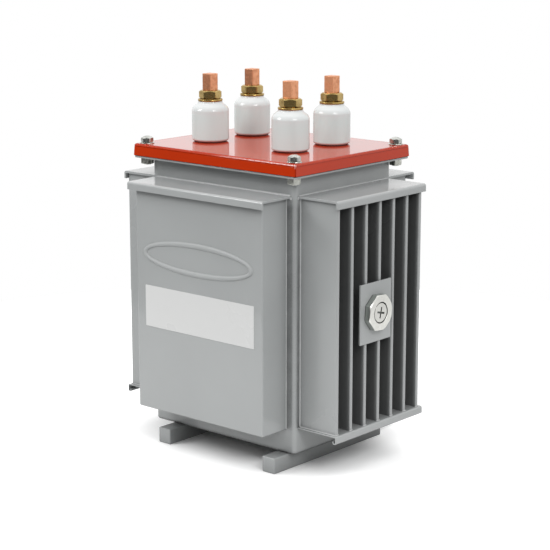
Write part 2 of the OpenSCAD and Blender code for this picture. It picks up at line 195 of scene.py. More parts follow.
class Form:
    """One mesh in the making, shaped with bmesh operators."""

    def __init__(self) -> None:
        """Starts with an empty mesh."""
        self.bm = bmesh.new()

    @classmethod
    def block(cls, lo: Vector, hi: Vector) -> Form:
        """Six-sided block between two corners."""
        form = cls()
        bmesh.ops.create_cube(form.bm, size=1.0)
        bmesh.ops.scale(form.bm, vec=hi - lo, verts=form.bm.verts[:])
        bmesh.ops.translate(form.bm, vec=(lo + hi) / 2, verts=form.bm.verts[:])
        return form

    @classmethod
    def bent_sheet(cls, span: Span, section: Sequence[Pair]) -> Form:
        """Thin sheet with sharp bends, swept along the Y axis of a box.

        Args:
            span: Box that the sheet runs through.
            section: Places of its ends and bends, across and up.

        Returns:
            The sheet, still without thickness.
        """
        form = cls()
        verts = [form.bm.verts.new((x, span.hi.y, z)) for x, z in section]
        edges = [form.bm.edges.new(pair) for pair in zip(verts, verts[1:])]
        made = bmesh.ops.extrude_edge_only(form.bm, edges=edges)
        bmesh.ops.translate(form.bm, vec=(0.0, -span.size.y, 0.0), verts=corners(made["geom"]))
        return form

    @classmethod
    def lathe(cls, section: Sequence[Triple], steps: int = 96) -> Form:
        """Round body turned from a section about the Z axis.

        Args:
            section: Radius, height and easing length of each corner, in order.
            steps: Number of faces round the body.

        Returns:
            The closed body.
        """
        form = cls()
        verts = [form.bm.verts.new((radius, 0.0, height)) for radius, height, _ in section]
        form.bm.faces.new(verts)
        for vert, (_, _, easing) in zip(verts, section):
            if easing > 0.0:
                form.bevelled([vert], easing, EASE_STEPS, "VERTICES")
        bmesh.ops.delete(form.bm, geom=form.bm.faces[:], context="FACES_ONLY")
        bmesh.ops.delete(form.bm, geom=form.level(Axis.X, 0.0), context="EDGES")
        bmesh.ops.spin(
            form.bm, geom=form.bm.verts[:] + form.bm.edges[:], cent=ORIGIN, axis=UP,
            angle=math.tau, steps=steps, use_merge=True,
        )
        return form.heal()

    @classmethod
    def skin(cls, rows: Sequence[Row]) -> Form:
        """Body whose skin runs over closed rows of points.

        Args:
            rows: Rows with the same number of points. A row whose points all
                fall together ends the skin in a pole, and the others that
                stand first or last are filled.

        Returns:
            The closed body.
        """
        form = cls()
        loop = bmesh.ops.create_circle(form.bm, segments=len(rows[0]), radius=1.0)["verts"]
        edges = form.bm.edges[:]
        for vert, point in zip(loop, rows[0]):
            vert.co = point
        bmesh.ops.edgeloop_fill(form.bm, edges=edges)
        for row in rows[1:]:
            made = bmesh.ops.extrude_edge_only(form.bm, edges=edges)["geom"]
            fresh = set(corners(made))
            loop = [next(edge.other_vert(vert) for edge in vert.link_edges
                         if edge.other_vert(vert) in fresh) for vert in loop]
            edges = [item for item in made if isinstance(item, Edge)
                     and all(vert in fresh for vert in item.verts)]
            for vert, point in zip(loop, row):
                vert.co = point
        bmesh.ops.edgeloop_fill(form.bm, edges=edges)
        return form.heal()

    @classmethod
    def rod(cls, line: Sequence[Vector], radius: float, ripple: float = 0.0) -> Form:
        """Round rod along a smooth line, with domed ends and a rippled skin.

        Args:
            line: Points that the middle of the rod follows.
            radius: Radius of the rod.
            ripple: Share of the radius by which the skin rises and falls.

        Returns:
            The closed rod.
        """
        rows: list[Row] = []
        last = len(line) - 1
        for i, point in enumerate(line):
            ahead = (line[min(i + 1, last)] - line[max(i - 1, 0)]).normalized()
            side = ahead.orthogonal().normalized()
            turned = ahead.cross(side)
            wave = 1.0 + ripple * noise.noise(point * RIPPLE_SCALE)
            spots = [(0.0, wave)]
            if i in (0, last):
                dome = [(math.sin(t), math.cos(t)) for t in DOME_TURNS]
                spots = [(-rise, wide * wave) for rise, wide in dome]
                if i == last:
                    spots = [(-rise, wide) for rise, wide in reversed(spots)]
            for rise, wide in spots:
                middle = point + ahead * radius * rise
                rows.append([
                    middle + radius * wide * (side * math.cos(a) + turned * math.sin(a))
                    for a in (math.tau * k / ROD_SIDES for k in range(ROD_SIDES))
                ])
        return cls.skin(rows)

    def bevelled(self, geom: list, width: float, steps: int, affect: str) -> list:
        """Rounds edges or corners and returns the new faces."""
        return bmesh.ops.bevel(
            self.bm, geom=geom, offset=width, offset_type="OFFSET", segments=steps,
            profile=0.5, affect=affect, material=-1,
        )["faces"]

    def edges(self, test: Callable[[Edge], bool]) -> list[Edge]:
        """Edges that pass a test."""
        return [edge for edge in self.bm.edges if test(edge)]

    def running(self, axis: Axis) -> list[Edge]:
        """Edges that run along an axis."""
        others = [i for i in range(3) if i != axis.value]
        return self.edges(lambda edge: all(
            abs(edge.verts[0].co[i] - edge.verts[1].co[i]) < TOUCH for i in others))

    def level(self, axis: Axis, value: float) -> list[Edge]:
        """Edges that lie at one value of an axis."""
        return self.edges(lambda edge: lies_at(edge, axis, value))

    def ease(self, edges: Iterable[Edge], width: float, steps: int = 4) -> Form:
        """Rounds some edges."""
        self.bevelled(list(edges), width, steps, "EDGES")
        return self

    def ease_rims(self, width: float, steps: int = 2) -> Form:
        """Rounds every edge that is sharper than sixty degrees."""
        sharp = self.edges(lambda edge: is_fold(edge) and edge.calc_face_angle(0.0) > math.radians(60.0))
        return self.ease(sharp, width, steps)

    def open(self, axis: Axis, value: float) -> Form:
        """Takes away the faces that lie at one value of an axis."""
        gone = [face for face in self.bm.faces if lies_at(face, axis, value)]
        bmesh.ops.delete(self.bm, geom=gone, context="FACES")
        return self

    def thicken(self, sheet: float) -> Form:
        """Gives an open skin a thickness on its inner side."""
        bmesh.ops.solidify(self.bm, geom=self.bm.faces[:], thickness=sheet)
        return self

    def finish_sheet(self, sheet: float, middle: Vector) -> Form:
        """Turns a bent sheet's top upwards, thickens it and rounds its rims."""
        bmesh.ops.recalc_face_normals(self.bm, faces=self.bm.faces[:])
        top = max(self.bm.faces, key=lambda face: face.calc_area() * (face.calc_center_median().z > middle.z))
        if top.normal.z < 0.0:
            bmesh.ops.reverse_faces(self.bm, faces=self.bm.faces[:])
        return self.thicken(sheet).ease_rims(RIM_EASE)

    def heal(self) -> Form:
        """Merges points that fall together and turns every face outwards."""
        bmesh.ops.remove_doubles(self.bm, verts=self.bm.verts[:], dist=1e-7)
        bmesh.ops.recalc_face_normals(self.bm, faces=self.bm.faces[:])
        if self.bm.calc_volume(signed=True) < 0.0:
            bmesh.ops.reverse_faces(self.bm, faces=self.bm.faces[:])
        return self

    def turn(self, matrix: Matrix) -> Form:
        """Moves the whole form by a matrix."""
        bmesh.ops.transform(self.bm, matrix=matrix, verts=self.bm.verts[:])
        return self

    def shift(self, step: Vector) -> Form:
        """Moves the whole form by a step."""
        bmesh.ops.translate(self.bm, vec=step, verts=self.bm.verts[:])
        return self

    def spread(self, steps: Sequence[Vector]) -> Form:
        """Puts a copy of the form at each of some steps from where it is."""
        source = self.bm.verts[:] + self.bm.edges[:] + self.bm.faces[:]
        first = self.bm.verts[:]
        for step in steps[1:]:
            made = bmesh.ops.duplicate(self.bm, geom=source)["geom"]
            bmesh.ops.translate(self.bm, vec=step, verts=corners(made))
        bmesh.ops.translate(self.bm, vec=steps[0], verts=first)
        return self

    def join(self, other: Form) -> Form:
        """Takes another form into this one."""
        held = bpy.data.meshes.new("held")
        other.bm.to_mesh(held)
        self.bm.from_mesh(held)
        bpy.data.meshes.remove(held)
        return self

    def weld(self, ends: Sequence[Vector], radius: float, ripple: float, step: float = 0.004) -> None:
        """Adds a straight bead between two points."""
        self.join(Form.rod(straight(*ends, step), radius, ripple))

    def piece(self, name: str, finish: Finish, nodes: Sequence[str] = (), crease: float = CREASE) -> None:
        """Makes the form a finished piece of the object.

        Args:
            name: Name of the piece.
            finish: Finish that it is dressed in.
            nodes: CAD nodes that it stands for.
            crease: Angle in degrees past which an edge stays sharp.
        """
        limit = math.radians(crease)
        for face in self.bm.faces:
            face.smooth = True
        for edge in self.bm.edges:
            edge.smooth = edge.calc_face_angle(0.0) < limit
        mesh = bpy.data.meshes.new(name)
        self.bm.to_mesh(mesh)
        self.bm.free()
        mesh.materials.append(finish.material())
        piece = bpy.data.objects.new(name, mesh)
        bpy.context.scene.collection.objects.link(piece)
        shade = piece.modifiers.new("even_shade", "WEIGHTED_NORMAL")
        shade.keep_sharp = True
        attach(piece, BODY)
        if nodes:
            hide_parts(*nodes)
        log.info("%s: %d faces, stands for %s", name, len(mesh.polygons), ", ".join(nodes) or "none")


def straight(start: Vector, end: Vector, step: float = 0.004) -> list[Vector]:
    """Evenly spaced points from one end of a line to the other."""
    count = max(2, round((end - start).length / step))
    return [start.lerp(end, i / count) for i in range(count + 1)]


def nut_outline(sides: int, flat: float, eased: float = 2.0) -> tuple[list[float], list[float]]:
    """Outline of a nut, with two points close together at each eased corner.

    Args:
        sides: Number of flats.
        flat: Half the width across the flats.
        eased: Half the angle that each corner's easing takes, in degrees.

    Returns:
        Angles from one corner round to the last, and the radius at each.
    """
    step = math.tau / sides
    gap = math.radians(eased)
    turns = [k * step + gap + (step - 2 * gap) * i / FLAT_STEPS
             for k in range(sides) for i in range(FLAT_STEPS + 1)]
    return turns, [flat / math.cos(turn % step - step / 2) for turn in turns]


def ring(turns: Sequence[float], radius: Measure, height: Measure) -> Row:
    """Points round the Z axis.

    Args:
        turns: Their angles.
        radius: Their radius, one for all or a list with one for each.
        height: Their height, given in the same way.

    Returns:
        The points in the order of the angles.
    """
    radii, heights = (
        item if isinstance(item, list) else [item] * len(turns) for item in (radius, height))
    return [Vector((r * math.cos(a), r * math.sin(a), z)) for r, a, z in zip(radii, turns, heights)]


class Graph:
    """Shader node tree that is being laid out."""

    def __init__(self, tree: bpy.types.NodeTree) -> None:
        """Holds the tree that the nodes go into."""
        self.tree = tree

    def add(self, kind: str, **values: object) -> bpy.types.Node:
        """Adds a node and sets its own values."""
        node = self.tree.nodes.new(kind)
        for key, value in values.items():
            setattr(node, key, value)
        return node

    def put(self, socket: Socket, value: object) -> None:
        """Links a socket to another one, or sets its value."""
        if isinstance(value, Socket):
            self.tree.links.new(value, socket)
        elif isinstance(value, tuple) and socket.type == "RGBA":
            socket.default_value = (*value, 1.0)
        else:
            socket.default_value = value

    def place(self) -> Socket:
        """Place of the shaded point on its object."""
        return self.add("ShaderNodeTexCoord").outputs["Object"]

    def here(self) -> list[Socket]:
        """Parts of the shaded point's place."""
        return self.split(self.place())

    def facing(self) -> list[Socket]:
        """Parts of the direction that the surface faces."""
        return self.split(self.add("ShaderNodeNewGeometry").outputs["Normal"])

    def split(self, vector: Socket) -> list[Socket]:
        """The three parts of a vector."""
        node = self.add("ShaderNodeSeparateXYZ")
        self.put(node.inputs[0], vector)
        return list(node.outputs)

    def math(self, operation: str, *values: object) -> Socket:
        """Result of a sum on one to three values."""
        node = self.add("ShaderNodeMath", operation=operation)
        for socket, value in zip(node.inputs, values):
            self.put(socket, value)
        return node.outputs[0]

    def times(self, first: object, *others: object) -> Socket:
        """Product of some values, taken in order."""
        for other in others:
            first = self.math("MULTIPLY", first, other)
        return first

    def length(self, parts: Iterable[Socket]) -> Socket:
        """Length of the line that two parts span."""
        return self.math("SQRT", self.math("ADD", *(self.times(part, part) for part in parts)))

    def mirrored(self, path: bpy.types.Node) -> Socket:
        """One for the rays that a mirror or glass sends on."""
        return self.math("MAXIMUM", path.outputs["Is Glossy Ray"], path.outputs["Is Transmission Ray"])

    def remap(
        self, value: object, low: object, high: object, to_low: float = 0.0, to_high: float = 1.0,
    ) -> Socket:
        """Smooth step of a value from one range to another."""
        node = self.add("ShaderNodeMapRange", interpolation_type="SMOOTHSTEP")
        for socket, item in zip(node.inputs, (value, low, high, to_low, to_high)):
            self.put(socket, item)
        return node.outputs[0]

    def noise(self, scale: object, detail: float = 2.0, stretch: Triple | None = None) -> Socket:
        """Soft noise over the object's own coordinates.

        Args:
            scale: Waves in a metre.
            detail: Number of finer layers.
            stretch: Factors on the three axes, for noise that runs one way.

        Returns:
            A value from 0 to 1.
        """
        place = self.place()
        if stretch:
            mapping = self.add("ShaderNodeMapping")
            self.put(mapping.inputs["Vector"], place)
            mapping.inputs["Scale"].default_value = stretch
            place = mapping.outputs[0]
        node = self.add("ShaderNodeTexNoise")
        self.put(node.inputs["Vector"], place)
        self.put(node.inputs["Scale"], scale)
        node.inputs["Detail"].default_value = detail
        return node.outputs[0]

    def mix(self, factor: object, first: object, second: object) -> Socket:
        """Blend of two colours."""
        node = self.add("ShaderNodeMix", data_type="RGBA")
        for index, value in ((0, factor), (6, first), (7, second)):
            self.put(node.inputs[index], value)
        return node.outputs[2]

    def bump(self, height: object, strength: float, depth: float) -> Socket:
        """Normal that a height gives."""
        node = self.add("ShaderNodeBump")
        node.inputs["Strength"].default_value = strength
        node.inputs["Distance"].default_value = depth
        self.put(node.inputs["Height"], height)
        return node.outputs[0]

    def group(self, effect: Effect, **values: float) -> bpy.types.Node:
        """Places a shared effect with its own values."""
        node = self.add("ShaderNodeGroup", node_tree=effect.tree())
        for key, value in values.items():
            node.inputs[key].default_value = value
        return node


class Effect(Enum):
    """Effects that several finishes share, each a node group made once."""

    SKIN = "paint_skin"
    DUST = "settled_dust"
    RUBBED = "rubbed_metal"
    GRIME = "corner_grime"

    def tree(self) -> bpy.types.NodeTree:
        """The effect's node group, made at its first use."""
        held = bpy.data.node_groups.get(self.value)
        if held:
            return held
        tree = bpy.data.node_groups.new(self.value, "ShaderNodeTree")
        inputs, lay_out = RECIPES[self]
        for name, value in inputs.items():
            socket = tree.interface.new_socket(name, in_out="INPUT", socket_type="NodeSocketFloat")
            socket.default_value = value
        graph = Graph(tree)
        results = lay_out(graph, graph.add("NodeGroupInput").outputs)
        for name in results:
            tree.interface.new_socket(name, in_out="OUTPUT", socket_type="NodeSocketFloat")
        end = graph.add("NodeGroupOutput")
        for name, value in results.items():
            graph.put(end.inputs[name], value)
        return tree


def paint_skin(graph: Graph, given: Sockets) -> dict[str, Socket]:
    """Sprayed paint: fine orange peel and slow changes of tone."""
    cloud = graph.noise(given["Cloud"], 4.0)
    return {"Height": graph.noise(given["Peel"], 1.5), "Tone": graph.remap(cloud, 0.3, 0.7)}


def settled_dust(graph: Graph, given: Sockets) -> dict[str, Socket]:
    """Dust that lies on faces turned upwards, in uneven patches."""
    upward = graph.remap(graph.facing()[2], 0.45, 0.95)
    patch = graph.remap(graph.noise(given["Patch"], 5.0), 0.35, 0.75)
    grit = graph.remap(graph.noise(900.0, 0.0), 0.7, 0.8)
    return {"Dust": graph.times(upward, patch), "Grit": grit}


def rubbed_metal(graph: Graph, given: Sockets) -> dict[str, Socket]:
    """Handled metal: fine lines and blotches of tarnish."""
    lines = graph.noise(1.0, 2.0, stretch=(900.0, 900.0, 160.0))
    blotch = graph.noise(given["Blotch"], 5.0)
    return {"Lines": lines, "Tarnish": graph.remap(blotch, 0.38, 0.68)}


def corner_grime(graph: Graph, given: Sockets) -> dict[str, Socket]:
    """Painted shade in corners, under lips and along welds, read from the ambient occlusion in soft patches.
    """
    cavity = graph.add("ShaderNodeAmbientOcclusion", samples=6)
    graph.put(cavity.inputs["Distance"], given["Reach"])
    patch = graph.remap(graph.noise(24.0, 4.0), 0.2, 0.8, 0.75, 1.0)
    # darker where other surfaces are near: painted shade
    held = graph.remap(cavity.outputs["AO"], 0.40, 0.95, 1.0, 0.0)
    return {"Grime": graph.times(held, patch)}


RECIPES = {
    Effect.SKIN: ({"Peel": 300.0, "Cloud": 5.0}, paint_skin),
    Effect.DUST: ({"Patch": 9.0}, settled_dust),
    Effect.RUBBED: ({"Blotch": 60.0}, rubbed_metal),
    Effect.GRIME: ({"Reach": 0.05}, corner_grime),
}


@dataclass(frozen=True)
class Finish:
    """A surface finish with its colour and gloss."""

    name: str
    colour: Colour
    roughness: float = 0.4
    metallic: float = 0.0
    ior: float = 1.5
    coat: float = 0.0
    coat_ior: float = 1.5
    coat_roughness: float = 0.05
    uneven: Pair = (0.85, 1.15)
    depth: float = 0.0006
    slot: Slot = Slot.GREY

    def shade(self, factor: float) -> Colour:
        """The finish's colour made darker or lighter."""
        red, green, blue = (min(1.0, part * factor) for part in self.colour)
        return red, green, blue

    def material(self) -> bpy.types.Material:
        """The finish as a Blender material, made at its first use."""
        held = bpy.data.materials.get(self.name)
        if held:
            return held
        made = bpy.data.materials.new(self.name)
        made.use_nodes = True
        graph = Graph(made.node_tree)
        shader = made.node_tree.nodes["Principled BSDF"]
        for key, value in (
                ("Metallic", self.metallic), ("IOR", self.ior), ("Coat Weight", self.coat),
                ("Coat IOR", self.coat_ior), ("Coat Roughness", self.coat_roughness)):
            shader.inputs[key].default_value = value
        for key, value in zip(("Base Color", "Roughness", "Normal"), self.surface(graph)):
            graph.put(shader.inputs[key], value)
        return made

    def surface(self, graph: Graph) -> Surface:
        """Lays out what changes over the surface.

        Args:
            graph: Tree of the material.

        Returns:
            Sockets for colour, roughness and normal.
        """
        raise NotImplementedError

    def gloss(self, graph: Graph, tone: Socket) -> Socket:
        """Roughness that a tone takes from one share of its value to another."""
        return graph.remap(tone, 0.0, 1.0, *(self.roughness * share for share in self.uneven))

    def dressed(self, graph: Graph, colour: Socket) -> Socket:
        """Colour after the marks that only this finish has."""
        return colour


@dataclass(frozen=True)
class Paint(Finish):
    """Sprayed gloss paint with orange peel, faint clouds, dust and painted shade in corners."""

    peel: float = 0.05
    dusty: float = 0.06
    # strength and reach of the painted shade in corners
    grime: float = 0.0
    corner_shade_reach: float = 0.06
    # strength of the painted shade in the deep band and near the foot
    deep: float = 0.0
    deep_band: Pair = (0.0, 1.0)
    band_rise: Pair = (-0.01, 0.01)
    band_fall: Pair = (-0.015, 0.012)
    foot: float = -1.0
    foot_fall: Pair = (0.003, 0.011)
    corner_shade_tone: float = 0.2
    cloudy: float = 0.025
    dust_colour: Colour = (0.42, 0.40, 0.37)

    def surface(self, graph: Graph) -> Surface:
        """Colour with clouds, dust and painted corner shade, uneven gloss and an orange peel."""
        skin = graph.group(Effect.SKIN, Peel=320.0, Cloud=5.0)
        dust = graph.group(Effect.DUST, Patch=9.0)
        tone = skin.outputs["Tone"]
        colour = graph.mix(tone, self.shade(1.0 - self.cloudy), self.shade(1.0 + self.cloudy))
        dirt = graph.times(dust.outputs["Dust"], self.dusty)
        colour = graph.mix(dirt, self.dressed(graph, colour), self.dust_colour)
        if self.grime > 0.0:
            corner = graph.group(Effect.GRIME, Reach=self.corner_shade_reach).outputs["Grime"]
            # painted shade: occluded places mix towards a dark copy of the colour
            held = graph.times(corner, self.strength(graph))
            colour = graph.mix(held, colour, self.shade(self.corner_shade_tone))
        return colour, self.gloss(graph, tone), graph.bump(skin.outputs["Height"], self.peel, self.depth)

    def strength(self, graph: Graph) -> Socket:
        """How strong the painted corner shade is at each height, at its deep strength in a band and near the
        foot.
        """
        height = graph.here()[2]
        low, high = self.deep_band
        above = graph.remap(height, *(low + end for end in self.band_rise))
        below = graph.remap(height, *(high + end for end in self.band_fall), 1.0, 0.0)
        foot = graph.remap(height, *(self.foot + end for end in self.foot_fall), 1.0, 0.0)
        band = graph.math("MAXIMUM", graph.times(above, below), foot)
        return graph.remap(band, 0.0, 1.0, self.grime, max(self.deep, self.grime))


@dataclass(frozen=True)
class FinPaint(Paint):
    """Paint on a fin bank, with painted shade on the faces that look into the gaps."""

    middle: Pair = (0.0, 0.0)
    half_width: float = 0.1395
    reach: float = 0.2975
    # painted shade in the gaps: darker high up, lighter low down
    gap_shade_colour: Colour = (0.102, 0.104, 0.104)
    low_colour: Colour = (0.140, 0.143, 0.143)
    tall: Pair = (0.1, 0.5)
    side_band: Pair = (0.0040, 0.0055)
    edge_band: Pair = (0.0005, 0.0110)

    def dressed(self, graph: Graph, colour: Socket) -> Socket:
        """Colour with painted shade on the faces in the gaps between the fins, darker towards the top."""
        across, along, height = graph.here()
        from_mid = graph.math("ABSOLUTE", graph.math("SUBTRACT", along, self.middle[1]))
        inside = graph.math("SUBTRACT", self.half_width, from_mid)
        out = graph.math("ABSOLUTE", graph.math("SUBTRACT", across, self.middle[0]))
        depth = graph.math("SUBTRACT", self.reach, out)
        # painted shade on the faces that look into the gaps
        held = graph.times(graph.remap(inside, *self.side_band), graph.remap(depth, *self.edge_band))
        gap = graph.mix(graph.remap(height, *self.tall), self.low_colour, self.gap_shade_colour)
        return graph.mix(held, colour, gap)


@dataclass(frozen=True)
class LidPaint(Paint):
    """Gloss red paint with a painted highlight on the fold near one corner."""

    middle: Pair = (0.0, 0.0)
    half: Pair = (0.227, 0.187)
    top: float = 0.65
    fold_r: float = 0.004
    line_low: Pair = (0.0004, 0.0010)
    line_high: Pair = (0.0019, 0.0027)
    line_front: Pair = (0.0040, 0.0054)
    line_fade: Pair = (0.015, 0.25)
    end_outer: Pair = (0.0010, 0.0016)
    end_inner: Pair = (0.0030, 0.0048)
    end_tall: Pair = (-0.0070, 0.0)
    # colour of the painted highlight on the fold
    fold_highlight_colour: Colour = (0.92, 0.78, 0.76)
    slot: Slot = Slot.RED

    def dressed(self, graph: Graph, colour: Socket) -> Socket:
        """Colour with a painted highlight: a pale, speckled line along the fold and down the flap ends near
        one corner.
        """
        place = graph.here()
        rise = graph.math("SUBTRACT", place[2], self.top - self.fold_r)
        line = graph.times(graph.remap(rise, *self.line_low), graph.remap(rise, *self.line_high, 1.0, 0.0))
        from_x = graph.math("SUBTRACT", self.middle[0] + self.half[0], place[0])
        from_y = graph.math("SUBTRACT", place[1], self.middle[1] - self.half[1])
        end = graph.times(
            graph.remap(from_x, *self.end_inner, 0.8, 0.0), graph.remap(rise, *self.end_tall),
            graph.remap(from_x, *self.end_outer))
        fade = graph.times(
            graph.remap(from_x, *self.line_fade, 0.75, 0.05), graph.remap(from_y, *self.line_front, 1.0, 0.0))
        speck = graph.remap(graph.noise(SPECKLE, 3.0), 0.40, 0.58, 0.35, 1.0)
        # painted highlight along the fold and on the flap ends
        fold_highlight = graph.times(graph.math("MAXIMUM", line, end), graph.times(fade, speck))
        return graph.mix(fold_highlight, colour, self.fold_highlight_colour)


@dataclass(frozen=True)
class Glaze(Finish):
    """White porcelain glaze with faint clouds, tiny pits and painted light at its foot, on its lower body and
    in reflections.
    """

    # painted counter-tint: the lower body is cyan to cancel the red light bounced up from the lid
    low_colour: Colour = (0.64, 0.745, 0.735)
    # painted reflection of the red lid on the porcelain's foot
    foot_reflection_colour: Colour = (0.62, 0.40, 0.38)
    pit_colour: Colour = (0.40, 0.38, 0.35)
    # painted reflection: red-orange tint that the porcelain shows to glossy rays, as seen in the lid
    mirrored: Colour = (0.70, 0.20, 0.11)
    foot: float = 0.65
    foot_band: Pair = (0.001, 0.0065)
    shoulder: float = 0.72
    shoulder_band: Pair = (-0.022, 0.012)
    stain_and_reflection: float = 0.8
    pitted: float = 0.10
    mirror: float = 0.48
    ripple: float = 0.04
    uneven: Pair = (0.9, 1.2)
    slot: Slot = Slot.PORCELAIN

    def surface(self, graph: Graph) -> Surface:
        """Soft changes of white, painted light by height and in reflections, an even gloss and a slight
        ripple.
        """
        skin = graph.group(Effect.SKIN, Peel=90.0, Cloud=14.0)
        dust = graph.group(Effect.DUST, Patch=40.0)
        tone = skin.outputs["Tone"]
        height = graph.here()[2]
        colour = graph.mix(tone, self.shade(0.985), self.shade(1.01))
        # painted counter-tint below the shoulder
        rise = graph.remap(height, *(self.shoulder + end for end in self.shoulder_band))
        colour = graph.mix(rise, self.low_colour, colour)
        # painted reflection of the red lid, strongest at the foot
        foot_reflection = graph.remap(height, *(self.foot + end for end in self.foot_band), self.stain_and_reflection, 0.0)
        colour = graph.mix(foot_reflection, colour, self.foot_reflection_colour)
        colour = graph.mix(graph.times(dust.outputs["Grit"], self.pitted), colour, self.pit_colour)
        # painted reflection tint for glossy rays
        glossy = graph.add("ShaderNodeLightPath").outputs["Is Glossy Ray"]
        colour = graph.mix(graph.times(glossy, self.mirror), colour, self.mirrored)
        return colour, self.gloss(graph, tone), graph.bump(skin.outputs["Height"], self.ripple, self.depth)


@dataclass(frozen=True)
class Metal(Finish):
    """Bare metal with tarnish and fine rubbed lines."""

    tarnish: Colour = (0.2, 0.15, 0.08)
    stain_and_reflection: float = 0.5
    blotch: float = 60.0
    lines: float = 0.08
    uneven: Pair = (0.8, 1.35)
    depth: float = 0.0003
    slot: Slot = Slot.ZINC

    def surface(self, graph: Graph) -> Surface:
        """Colour with stains, gloss that they dull, and fine lines."""
        rubbed = graph.group(Effect.RUBBED, Blotch=self.blotch)
        tone = rubbed.outputs["Tarnish"]
        colour = graph.mix(graph.times(tone, self.stain_and_reflection), self.colour, self.tarnish)
        normal = graph.bump(rubbed.outputs["Lines"], self.lines, self.depth)
        return self.dressed(graph, colour), self.gloss(graph, tone), normal

    def patches(self, graph: Graph, most: float) -> Socket:
        """Strength of a painted shade that lies in small patches."""
        return graph.remap(graph.noise(SPECKLE, 3.0), 0.35, 0.6, 0.65, most)


@dataclass(frozen=True)
class FacedMetal(Metal):
    """Metal with a bright front and painted shade on its sides, in its groove and at its foot."""

    front: float = 0.0
    # painted shade on the sides and, darker, in the groove and at the foot
    side_shade_colour: Colour = (0.47, 0.50, 0.47)
    painted_shade_colour: Colour = (0.14, 0.15, 0.14)
    thick: float = 0.014
    axis: Pair = (0.0, 0.3)
    groove_r: float = 0.0231
    side_shade_band: Pair = (0.0012, 0.0022)
    sunk_band: Pair = (0.0006, 0.0016)
    foot_band: Pair = (-0.0022, -0.0012)

    def dressed(self, graph: Graph, colour: Socket) -> Socket:
        """Painted shade on the sides by the depth behind the front, and darker painted shade in the groove
        and at the foot.
        """
        place = graph.here()
        depth = graph.math("SUBTRACT", self.front, place[0])
        colour = graph.mix(graph.remap(depth, *self.side_shade_band), colour, self.side_shade_colour)
        offs = [graph.math("SUBTRACT", part, mid) for part, mid in zip(place[1:], self.axis)]
        inner = graph.math("LESS_THAN", graph.length(offs), self.groove_r)
        sunk = graph.times(inner, graph.remap(depth, *self.sunk_band))
        foot = graph.remap(depth, *(self.thick + end for end in self.foot_band))
        # darker painted shade in the groove and at the foot next to the plate
        return graph.mix(graph.math("MAXIMUM", sunk, foot), colour, self.painted_shade_colour)


@dataclass(frozen=True)
class BarMetal(Metal):
    """Metal bars with painted shade on their front faces, stronger on the left."""

    # colour and strength of the painted shade on the front faces
    front_shade_colour: Colour = (0.36, 0.145, 0.075)
    front_shade_share: float = 0.72
    front_band: Pair = (-0.95, -0.6)
    across_band: Pair = (-0.12, 0.06)
    slot: Slot = Slot.COPPER

    def dressed(self, graph: Graph, colour: Socket) -> Socket:
        """Painted shade, in patches, where the metal faces the front."""
        front = graph.remap(graph.facing()[1], *self.front_band, 1.0, 0.0)
        share = graph.remap(graph.here()[0], *self.across_band, self.front_shade_share, 0.0)
        return graph.mix(graph.times(front, share, self.patches(graph, 1.0)), colour, self.front_shade_colour)


@dataclass(frozen=True)
class NutMetal(Metal):
    """Metal of the nuts round the neck, with painted shade on the sides that look inwards."""

    middle: Pair = (0.0, 0.0)
    painted_shade_colour: Colour = (0.10, 0.10, 0.09)
    inward_band: Pair = (-0.06, 0.06)

    def dressed(self, graph: Graph, colour: Socket) -> Socket:
        """Painted shade, in patches, where the metal faces the neck."""
        parts = [graph.times(side, graph.math("SUBTRACT", middle, part))
                 for side, part, middle in zip(graph.facing(), graph.here(), self.middle)]
        # painted shade on the sides that face the neck
        inward = graph.remap(graph.math("ADD", *parts), *self.inward_band)
        return graph.mix(graph.times(inward, self.patches(graph, 0.95)), colour, self.painted_shade_colour)


@dataclass(frozen=True)
class Rubber(Finish):
    """Dull black rubber with a mottled skin."""

    grain: float = 0.15
    uneven: Pair = (0.9, 1.1)
    depth: float = 0.0004
    slot: Slot = Slot.RUBBER

    def surface(self, graph: Graph) -> Surface:
        """Uneven black, uneven dullness and a fine grain."""
        skin = graph.group(Effect.SKIN, Peel=700.0, Cloud=30.0)
        tone = skin.outputs["Tone"]
        colour = graph.mix(tone, self.shade(0.8), self.shade(1.4))
        return colour, self.gloss(graph, tone), graph.bump(skin.outputs["Height"], self.grain, self.depth)


